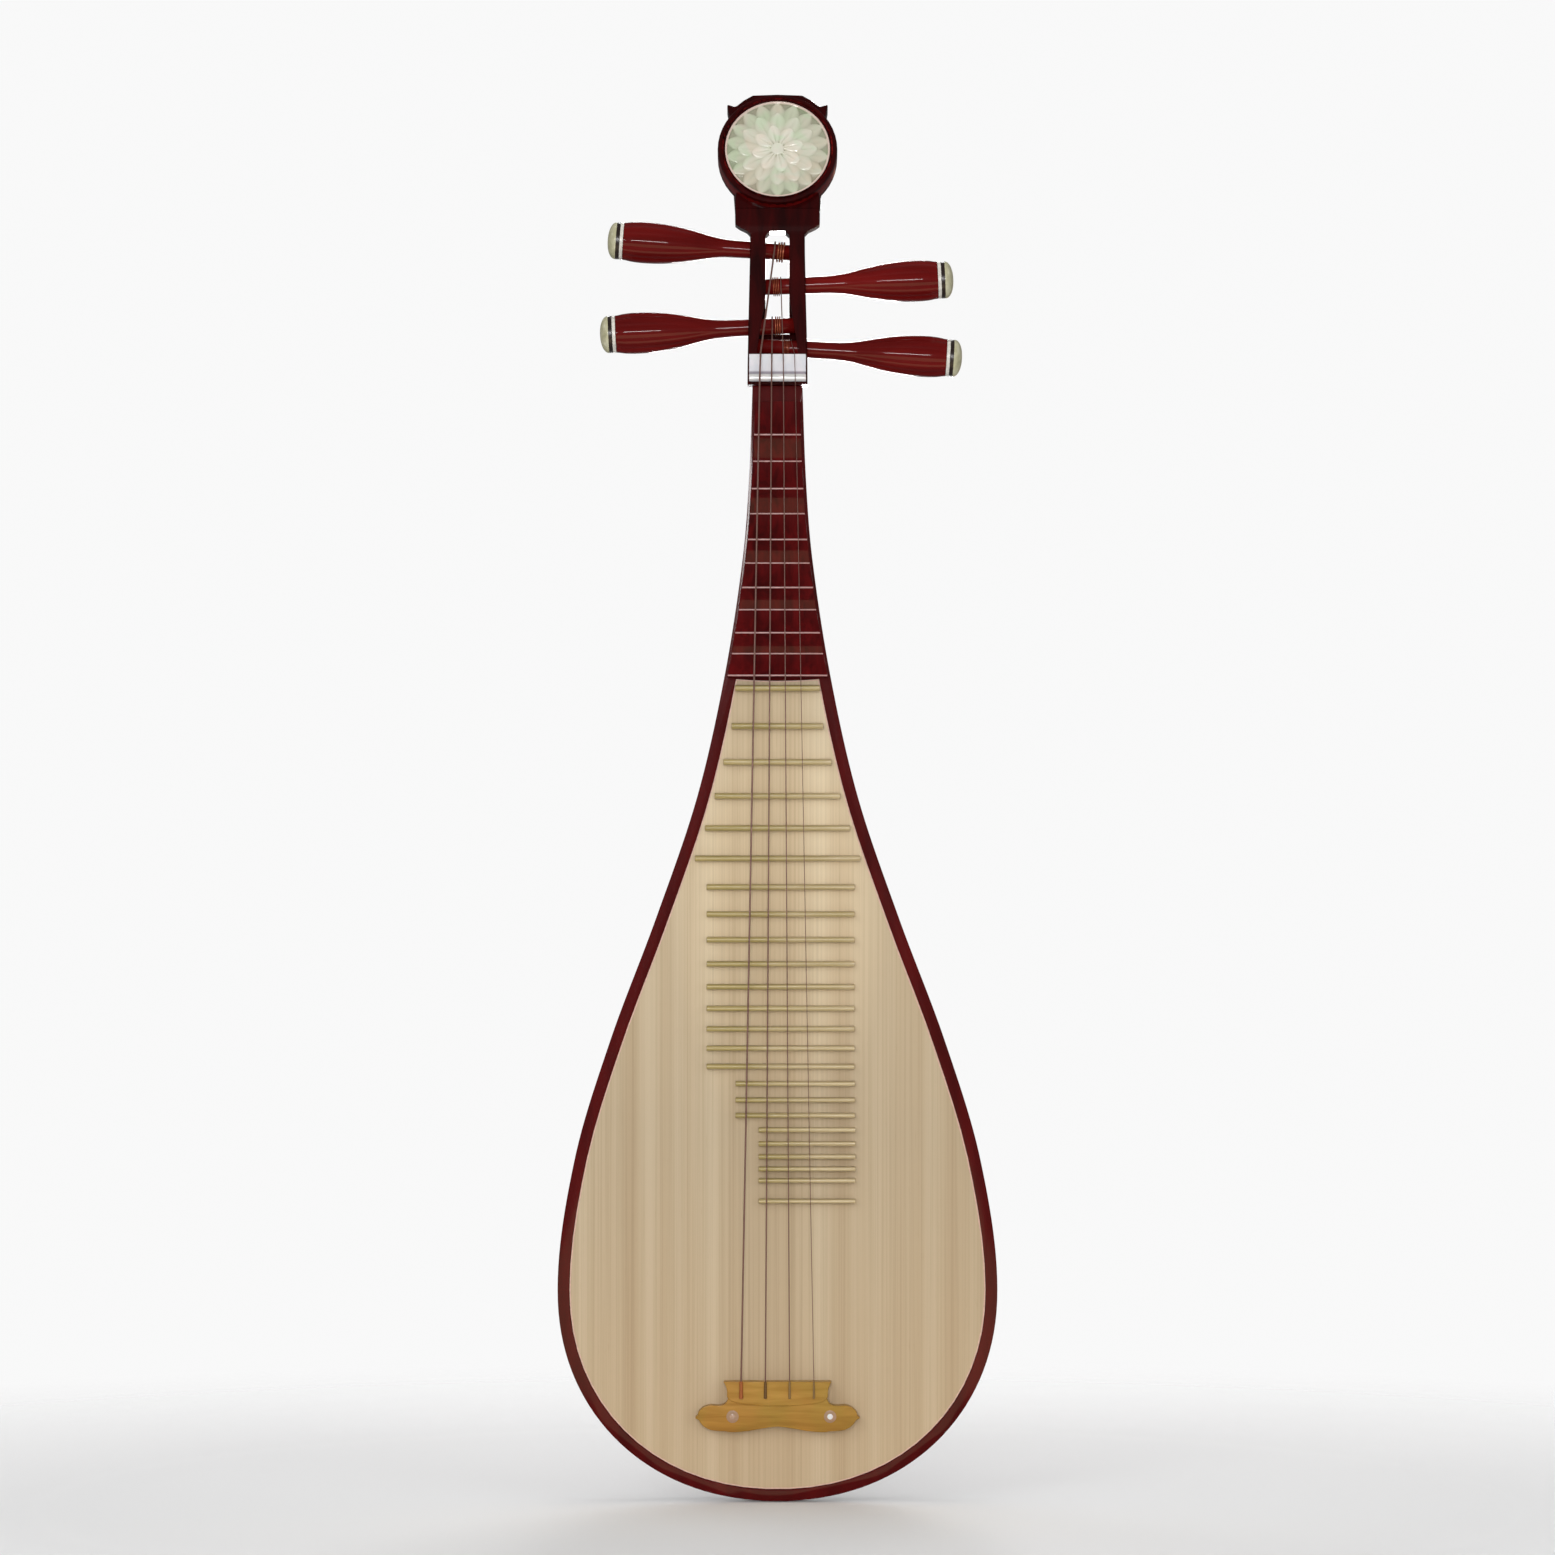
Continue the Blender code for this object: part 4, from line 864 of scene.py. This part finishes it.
bridgeSizes = {
    # right half of the outline from the middle of the foot round to the top, across and up
    "outline": ((0.0, 0.0541), (0.010, 0.0529), (0.020, 0.0512), (0.0275, 0.0504), (0.0330, 0.0502),
                (0.0380, 0.0508), (0.0430, 0.0511), (0.0480, 0.0519), (0.0524, 0.0543), (0.0548, 0.0570),
                (0.0560, 0.0588), (0.0586, 0.0604), (0.0568, 0.0622), (0.0560, 0.0648), (0.0528, 0.0678),
                (0.0480, 0.0693), (0.0430, 0.0690), (0.0392, 0.0695), (0.0366, 0.0710), (0.0352, 0.0738),
                (0.0330, 0.0752)),
    "block": ((0.0, 0.0690), (0.0120, 0.0693), (0.0240, 0.0704), (0.0320, 0.0722), (0.0356, 0.0750),
              (0.0358, 0.0790), (0.0366, 0.0825), (0.0384, 0.0862)),
    "back": -0.0003,
    "wingFront": -0.0121,
    "blockFront": -0.01345,
    "wingRound": 0.0016,
    "blockRound": 0.0007,
    "ringRadius": 0.0044,
    "ringProud": 0.00025,
    "dotRadius": 0.0021,
    "dotProud": 0.0005,
    # each dot's place across and up, and its look
    "dots": ((-0.0320, 0.0613, pearlFaint), (0.0374, 0.0613, pearl)),
    # shares of how proud a dot stands, and of its radius
    "dotProfile": ((0.3, 1.0), (0.8, 0.88), (1.0, 0.4)),
    "dotSink": 0.001,
    # each string's place across, thickness of the thread, and its colour
    "threads": ((-0.025875, 0.00150, threadOrange), (-0.008625, 0.00118, threadOlive),
                (0.008625, 0.00092, threadTan), (0.025875, 0.00078, threadTan)),
    "threadPlace": (-0.01415, 0.0742),
    "threadLength": 0.0122,
    "threadRings": 46,
    "threadTaper": 0.22,
    "threadGroove": 0.93,
    "threadEnd": 0.0002,
}


def mirroredOutline(half, steps):
    # smooth closed outline through the half's points and their mirror image
    points = [(-across, up) for across, up in reversed(half[1:])] + list(half)
    outline = []
    for i in range(len(points) - 1):
        before, start, end = points[max(i - 1, 0)], points[i], points[i + 1]
        after = points[min(i + 2, len(points) - 1)]
        for t in spread(0.0, 1.0 - 1.0 / steps, steps):
            place = []
            for k in range(2):
                place.append(0.5 * (2 * start[k] + (end[k] - before[k]) * t
                                    + (2 * before[k] - 5 * start[k] + 4 * end[k] - after[k]) * t * t
                                    + (3 * start[k] - before[k] - 3 * end[k] + after[k]) * t ** 3))
            outline.append(place)
    outline.append(points[-1])
    return outline


def outlinePiece(name, half, front, roundness):
    outline = mirroredOutline(half, 4)
    piece = startCircle(name, len(outline), 0.05)
    for point, (across, up) in zip(piece.data.vertices, outline):
        point.co = (across, front, up)
    editWhole(piece)
    extrudeBy(0, bridgeSizes["back"] - front, 0)
    selectAll()
    bpy.ops.mesh.normals_make_consistent(inside=False)
    leaveEdit()
    roundEdges(piece, roundness, 4, 50)
    flattenShading(piece, 40)
    return piece


def makeBridge():
    sizes = bridgeSizes
    wings = outlinePiece("bridgeWings", sizes["outline"], sizes["wingFront"], sizes["wingRound"])
    finishPiece(wings, woodBridge, "root", "bridge_wood", "bridge")
    block = outlinePiece("bridgeBlock", sizes["block"], sizes["blockFront"], sizes["blockRound"])
    finishPiece(block, woodBridge, "root", "bridge_wood")
    turn = Vector((0, -1, 0)).to_track_quat("Z", "Y")
    for number, (across, up, look) in enumerate(sizes["dots"], 1):
        for name, radius, proud, material in (
                ("bridgeDotRing", sizes["ringRadius"], sizes["ringProud"], pearlGrey),
                ("bridgeDot", sizes["dotRadius"], sizes["dotProud"], look)):
            profile = [(-sizes["dotSink"], radius)]
            profile += [(proud * rise, radius * share) for rise, share in sizes["dotProfile"]]
            dot = turnProfile(name + str(number), profile, 36)
            settlePiece(dot, (across, sizes["wingFront"], up), turn, 40, material, "root", "bone")


def makeThreads():
    sizes = bridgeSizes
    length = sizes["threadLength"]
    end = sizes["threadEnd"]
    turn = Vector((0, 0, 1)).to_track_quat("Z", "Y")
    for number, (across, radius, material) in enumerate(sizes["threads"], 1):
        profile = [(0.0, radius * 0.4)]
        for i, along in enumerate(spread(end, length, sizes["threadRings"])):
            taper = 1.0 - sizes["threadTaper"] * along / length
            profile.append((along, radius * taper * (1.0 if i % 2 else sizes["threadGroove"])))
        profile.append((length + end, radius * 0.45))
        thread = turnProfile("stringThread" + str(number), profile, 20)
        settlePiece(thread, (across, *sizes["threadPlace"]), turn, 60, material, "root", "string")


makeBridge()
makeThreads()
print("bridge, dots and threads made")


# Pegbox, back plate and nut

boxSizes = {"edgeRound": 0.0007, "edgeAngle": 40, "smoothAngle": 35}
nutSizes = {"edgeRound": 0.0003, "edgeAngle": 30, "smoothAngle": 35}


def makePegbox():
    roundedCopy("pegbox", "pegboxCheeks", boxSizes, lacquerPegbox, "lacquer")
    plate = copyOfNode("neck_back_plate", "neckPlate")
    closeAndSmooth(plate, 35)
    finishPiece(plate, bonePlate, "root", "bone", "neck_back_plate")
    roundedCopy("nut", "nutPlate", nutSizes, boneNut, "nut_bone")


makePegbox()
print("pegbox, plate and nut made")


# Head: drum, shield behind it, and a rosette in its face

headShape = {
    "place": (0, 0.044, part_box("back_shell")[1].z + 0.1675),
    "tilt": 20,
    "drumRadius": 0.043,
    "discRadius": 0.0376,
    "seatRadius": 0.0379,
    "front": 0.014,
    "back": -0.010,
    "backHole": 0.004,
    # the rounded back edge: how far forward, and how far in from the drum's side
    "backEdge": ((0.0, 0.0045), (0.0012, 0.0022), (0.004, 0.0006)),
    "sideEnd": 0.0045,
    "frontRound": 0.0032,
    # the seat of the disc: how far behind the front, and how far out from the seat's radius
    "seatEdge": ((0.0, 0.0009), (0.0003, 0.0003), (0.0009, 0.0), (0.0037, 0.0)),
    "sides": 160,
}


def headTurn():
    tilt = math.radians(headShape["tilt"])
    return Vector((0, -math.cos(tilt), math.sin(tilt))).to_track_quat("Z", "Y")


def makeHead():
    shape = headShape
    radius = shape["drumRadius"]
    front = shape["front"]
    seat = shape["seatRadius"]
    bend = shape["frontRound"]
    profile = [(shape["back"], shape["backHole"])]
    profile += [(shape["back"] + forward, radius - inward) for forward, inward in shape["backEdge"]]
    profile += [(0.0, radius), (front - shape["sideEnd"], radius)]
    for angle in spread(0.0, math.pi / 2, 6)[1:]:
        profile.append((front - bend + bend * math.sin(angle), radius - bend + bend * math.cos(angle)))
    profile += [(front - behind, seat + outward) for behind, outward in shape["seatEdge"]]
    profile.append((profile[-1][0], seat * 0.1))
    drum = turnProfile("headDrum", profile, shape["sides"])
    settlePiece(drum, shape["place"], headTurn(), 40, lacquerHead, "root", "lacquer")

    block = copyOfNode("head_block", "headShield")
    joinFlatFaces(block, 0.4)
    flattenShading(block, 30)
    finishPiece(block, lacquerPegbox, "root", "lacquer", "head_block")


rosette = {
    "relief": 0.0030,
    "rings": 84,
    "sides": 300,
    "face": 0.0112,
    "back": 0.0106,
    # inner and outer edge, petals, turn in steps, height
    "layers": ((0.50, 0.975, 18, 0.0, 0.36), (0.30, 0.76, 12, 0.5, 0.56), (0.12, 0.50, 8, 0.25, 0.76)),
    "petalWidth": 0.62,
    "petalPoint": 0.6,
    "petalDome": 0.70,
    "petalTip": 0.14,
    "groove": 0.30,
    "grooveWidth": 0.16,
    "button": 0.12,
    "buttonHeight": (0.70, 0.26),
    # the raised border: where it starts, how wide its slope is, and its height
    "border": (0.955, 0.012, 0.62),
}


def petalHeight(share, angle, layer):
    # a pointed petal, domed across, with a groove along its middle
    shape = rosette
    start, end, count, offset, rise = layer
    if not start < share < end:
        return 0.0
    along = (share - start) / (end - start)
    step = 2 * math.pi / count
    turn = (angle + offset * step) % step - step / 2
    wide = step * shape["petalWidth"] * math.sin(math.pi * min(along * 0.8 + 0.2, 1.0)) ** shape["petalPoint"]
    if abs(turn) > wide:
        return 0.0
    across = turn / wide
    dome = math.sqrt(1 - across * across)
    groove = shape["groove"] * math.exp(-(across / shape["grooveWidth"]) ** 2) * (1 - along ** 2)
    domed = 1 - shape["petalDome"] + shape["petalDome"] * dome
    return rise * (domed - groove) + shape["petalTip"] * along * dome


def rosetteHeight(share, angle):
    height = max(petalHeight(share, angle, layer) for layer in rosette["layers"])
    button = rosette["button"]
    if share < button:
        base, dome = rosette["buttonHeight"]
        height = max(height, base + dome * math.sqrt(1 - (share / button) ** 2))
    start, slope, top = rosette["border"]
    if share > start:
        height = max(height, top * min((share - start) / slope, 1.0))
    return height


def makeRosette():
    shape = rosette
    radius = headShape["discRadius"]
    profile = [(shape["back"], radius)]
    for share in spread(1.0, 0.012, shape["rings"]):
        profile.append((shape["face"], radius * share))
    disc = turnProfile("headRosette", profile, shape["sides"])

    def carve(point):
        if point.z > shape["face"] - sameSpot:
            share = math.hypot(point.x, point.y) / radius
            point.z += shape["relief"] * rosetteHeight(share, math.atan2(point.y, point.x))

    movePoints(disc, carve)
    crest = shape["face"] + shape["relief"]
    stone = discStone(headShape["place"], headShape["tilt"], shape["face"], crest, radius)
    settlePiece(disc, headShape["place"], headTurn(), 60, stone, "root", "bone", "head_disc")


makeHead()
makeRosette()
print("head and rosette made")


# Pegs with fluted handles, rings and domed caps

pegShape = {
    # distance in from the handle's end, and radius there
    "handle": ((0.0, 0.0132), (0.006, 0.0141), (0.014, 0.0146), (0.026, 0.0143), (0.038, 0.0130),
               (0.050, 0.0108), (0.061, 0.0084), (0.070, 0.0069), (0.079, 0.0062)),
    "shaftRadius": 0.006,
    "shaftEnd": 0.0054,
    "shaftTip": 0.93,
    "endRound": 0.0004,
    "shoulder": 0.0224,
    "flutes": 10,
    "fluteDepth": 0.05,
    # the flutes start at this many shaft radii, and are full this much further out
    "fluteStart": 1.05,
    "fluteGrowth": 0.004,
    "ridgeMiddle": 0.6,
    "sides": 120,
    "stations": 40,
    "stationGap": 0.0005,
    "capLength": 0.0114,
    "capRadius": 0.0132,
    "capSides": 96,
    "domeRings": 14,
    "ringDark": 0.0027,
    "ringPale": 0.0024,
    "bevel": 0.0002,
}


def makePeg(pegName, number):
    shape = pegShape
    bevel = shape["bevel"]
    joint = pegJoints[pegName]
    axis = Vector(joint["axis"]).normalized()
    place = Vector(joint["pos_m"])
    turn = axis.to_track_quat("Z", "Y")
    capLow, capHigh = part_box(pegName + "_cap")
    pegLow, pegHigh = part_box(pegName)
    reach = max(abs(capLow.x), abs(capHigh.x)) / abs(axis.x)
    innerEnd = (-pegLow.x if axis.x > 0 else pegHigh.x) / abs(axis.x) - bevel
    handleEnd = reach - shape["capLength"]

    profile = [(-innerEnd, shape["shaftEnd"] * shape["shaftTip"]),
               (-innerEnd + shape["endRound"], shape["shaftEnd"]), (shape["shoulder"], shape["shaftRadius"])]
    for inward in spread(shape["handle"][-1][0], 0.0, shape["stations"]):
        along = handleEnd - inward
        if along > shape["shoulder"] + shape["stationGap"]:
            profile.append((along, curveValue(shape["handle"], inward)))
    profile.append((handleEnd + bevel / 2, shape["handle"][0][1] - shape["endRound"]))
    peg = turnProfile("pegHandle" + str(number), profile, shape["sides"])
    thick = shape["shaftRadius"] * shape["fluteStart"]

    def flute(point):
        radius = math.hypot(point.x, point.y)
        if radius < thick or point.z < shape["shoulder"]:
            return
        bulge = min((radius - thick) / shape["fluteGrowth"], 1.0)
        angle = math.atan2(point.y, point.x)
        ridge = abs(math.cos(angle * shape["flutes"] / 2))  # rounded ridges with sharp grooves between them
        factor = 1 + shape["fluteDepth"] * bulge * (ridge - shape["ridgeMiddle"])
        point.x *= factor
        point.y *= factor

    movePoints(peg, flute)
    settlePiece(peg, place, turn, 45, lacquerPeg, pegName, "lacquer", pegName)

    start = handleEnd + bevel
    paleEnd = start + shape["ringPale"]
    darkEnd = paleEnd + shape["ringDark"]
    radius = shape["capRadius"]
    hole = radius * 0.5
    for ringName, low, high, material in (("pegPaleRing", start, paleEnd, ringPale),
                                          ("pegDarkRing", paleEnd, darkEnd, ringDark)):
        profile = ((low, hole), (low, radius - bevel), (low + bevel, radius),
                   (high - bevel, radius), (high, radius - bevel), (high, hole))
        ring = turnProfile(ringName + str(number), profile, shape["capSides"])
        settlePiece(ring, place, turn, 40, material, pegName, "bone")
    profile = [(darkEnd, hole), (darkEnd, radius)]
    for share in spread(0.0, 0.985, shape["domeRings"]):
        angle = share * math.pi / 2
        profile.append((darkEnd + bevel + (reach - darkEnd - bevel) * math.sin(angle),
                        radius * math.cos(angle) ** 0.9))
    dome = turnProfile("pegDome" + str(number), profile, shape["capSides"])
    settlePiece(dome, place, turn, 60, boneCap, pegName, "bone", pegName + "_cap")

    winding = copyOfNode(pegName + "_winding", "pegWinding" + str(number))
    applyModifier(winding, "SUBSURF", levels=1, render_levels=1)
    closeAndSmooth(winding, 80)
    finishPiece(winding, stringCopper, pegName, "string", pegName + "_winding")


for pegNumber, pegName in enumerate(sorted(pegJoints), 1):
    makePeg(pegName, pegNumber)
print("pegs made")


# Strings

def makeStrings():
    for number in range(1, 5):
        nodeName = "string_" + str(number)
        string = copyOfNode(nodeName, "lacquerString" + str(number))
        closeAndSmooth(string, 80)
        finishPiece(string, stringSteel, "root", "string", nodeName)


makeStrings()
print("strings made")


# Nodes that stay as they are

def dressNode(nodeName, material):
    node = cadNodes[nodeName]
    node.data.materials.clear()
    node.data.materials.append(material)


dressNode("soundboard", woodBoard)
for nodeName in ("soundboard_bar_lower", "soundboard_bar_upper", "sound_post_left", "sound_post_right",
                 "sound_post_upper"):
    dressNode(nodeName, woodInner)


# Floor, light and camera

stageSizes = {
    "floorRadius": 1.6,
    "floorDrop": 0.0006,
    "floorColor": (0.86, 0.86, 0.86),
    "background": (0.945, 0.945, 0.945),
    "roomLight": 0.36,
    "glossRoom": 0.07,
    "glossShare": 0.10,
    "cameraDistance": 4.6,
    "cameraHeight": 0.5158,
    "frameHeight": 1.1086,
    "sensorWidth": 36,
    # name, place, width and height, power
    "softLights": (
        ("keyLight", (-1.3, -2.5, 1.6), (1.2, 1.6), 15),
        ("fillLight", (1.7, -2.1, 0.8), (1.0, 1.6), 8),
        ("frontLight", (-0.1, -3.4, 0.6), (0.9, 1.2), 44),
        ("topLight", (0.0, 0.2, 2.6), (1.2, 1.2), 12),
        ("backLight", (0.6, 2.6, 1.1), (1.4, 1.8), 34),
        ("backFill", (-1.6, 2.0, 0.6), (0.8, 1.6), 14),
    ),
    # name, place, target, width and height, brightness, colour, angle in degrees it fans out by
    "glossStrips": (
        ("pegStrip", (-0.2, -2.5, 1.10), (0, 0, 0.86), (1.3, 0.20), 46, white, 180),
        ("backStrip", (0.05, 2.8, 1.07), (0, 0, 0.78), (0.14, 1.14), 80, white, 180),
        ("backStripTail", (0.05, 2.8, 0.43), (0, 0, 0.5), (0.14, 0.14), 26, white, 180),
        ("backSheen", (0.56, 2.7, 0.42), (0, 0, 0.4), (0.30, 1.3), 1.3, (1, 0.50, 0.30), 180),
        ("backTop", (0.0, 2.7, 2.3), (0, 0, 0.9), (0.5, 0.25), 30, white, 180),
        ("sideLeft", (-2.2, 0.3, 1.9), (0, 0, 0.9), (0.7, 0.5), 7, white, 180),
        ("sideRight", (2.2, 0.3, 1.9), (0, 0, 0.9), (0.7, 0.5), 7, white, 180),
        ("floorGlow", (0, -0.9, 0.02), (0, -0.6, 1.0), (2.4, 0.6), 1.6, (1, 0.82, 0.5), 180),
        ("cheekGlow", (0, 1.62, 0.12), (0, 0.07, 0.92), (0.10, 0.12), 1.3, white, 26),
    ),
}


def makeFloor():
    deselectAll()
    bpy.ops.mesh.primitive_circle_add(vertices=96, radius=stageSizes["floorRadius"], fill_type="NGON",
                                      location=(0, 0, -stageSizes["floorDrop"]))
    floor = bpy.context.object
    floor.name = "floor"
    material, tree, shader = startMaterial("floorPale")
    shader.inputs["Base Color"].default_value = (*stageSizes["floorColor"], 1)
    setGloss(shader, 0.9, 0.1)
    clear = addNode(tree, "BsdfTransparent")
    fade = mapRange(tree, roundGlow(tree, (0.9, 0.9, 0.9)), "To", 0.0, 1.9)
    faded = mixShaders(tree, fade, clear.outputs["BSDF"], shader.outputs["BSDF"])
    tree.links.new(faded, tree.nodes["Material Output"].inputs["Surface"])
    floor.data.materials.append(material)
    floor.visible_glossy = False


def makeWorld():
    # camera and transmitted rays see the pale backdrop, glossy rays part of it, the rest the dimmer room
    world = bpy.data.worlds.new("studio")
    bpy.context.scene.world = world
    world.use_nodes = True
    tree = world.node_tree
    tree.nodes.remove(tree.nodes["Background"])
    room, glossRoom, backdrop = (
        addNode(tree, "Background", {"Color": (*color, 1), "Strength": strength}).outputs[0]
        for color, strength in ((white, stageSizes["roomLight"]), (white, stageSizes["glossRoom"]),
                                (stageSizes["background"], 1.0)))
    rays = addNode(tree, "LightPath").outputs
    glossy = rays["Is Glossy Ray"]
    seen = mathValue(tree, "MAXIMUM", rays["Is Camera Ray"],
                     mathValue(tree, "MULTIPLY", glossy, stageSizes["glossShare"]))
    seen = mathValue(tree, "MAXIMUM", seen, rays["Is Transmission Ray"])
    surroundings = mixShaders(tree, seen, mixShaders(tree, glossy, room, glossRoom), backdrop)
    tree.links.new(surroundings, tree.nodes["World Output"].inputs["Surface"])


def addLight(name, place, target, size, power, color=white):
    light = bpy.data.lights.new(name, "AREA")
    light.shape = "RECTANGLE"
    light.size, light.size_y = size
    light.energy = power
    light.color = color
    lamp = newObject(name, light)
    lamp.location = place
    lamp.rotation_mode = "QUATERNION"
    lamp.rotation_quaternion = (Vector(target) - Vector(place)).to_track_quat("-Z", "Y")
    lamp.visible_camera = False
    return lamp


def addLights():
    # soft lights light the object without showing in the lacquer, and gloss strips only show in it
    for name, place, size, power in stageSizes["softLights"]:
        addLight(name, place, (0, 0, 0.5), size, power).visible_glossy = False
    for name, place, target, size, brightness, color, fan in stageSizes["glossStrips"]:
        power = brightness * math.pi * size[0] * size[1]
        strip = addLight(name, place, target, size, power, color)
        strip.visible_diffuse = False
        strip.data.spread = math.radians(fan)


def addCamera():
    data = bpy.data.cameras.new("camera")
    data.sensor_width = stageSizes["sensorWidth"]
    data.lens = stageSizes["sensorWidth"] * stageSizes["cameraDistance"] / stageSizes["frameHeight"]
    camera = newObject("camera", data)
    camera.location = (0, -stageSizes["cameraDistance"], stageSizes["cameraHeight"])
    camera.rotation_euler = (math.radians(90), 0, 0)
    bpy.context.scene.camera = camera


makeFloor()
makeWorld()
addLights()
addCamera()
bpy.context.scene.view_settings.view_transform = "Standard"
print("stage made")
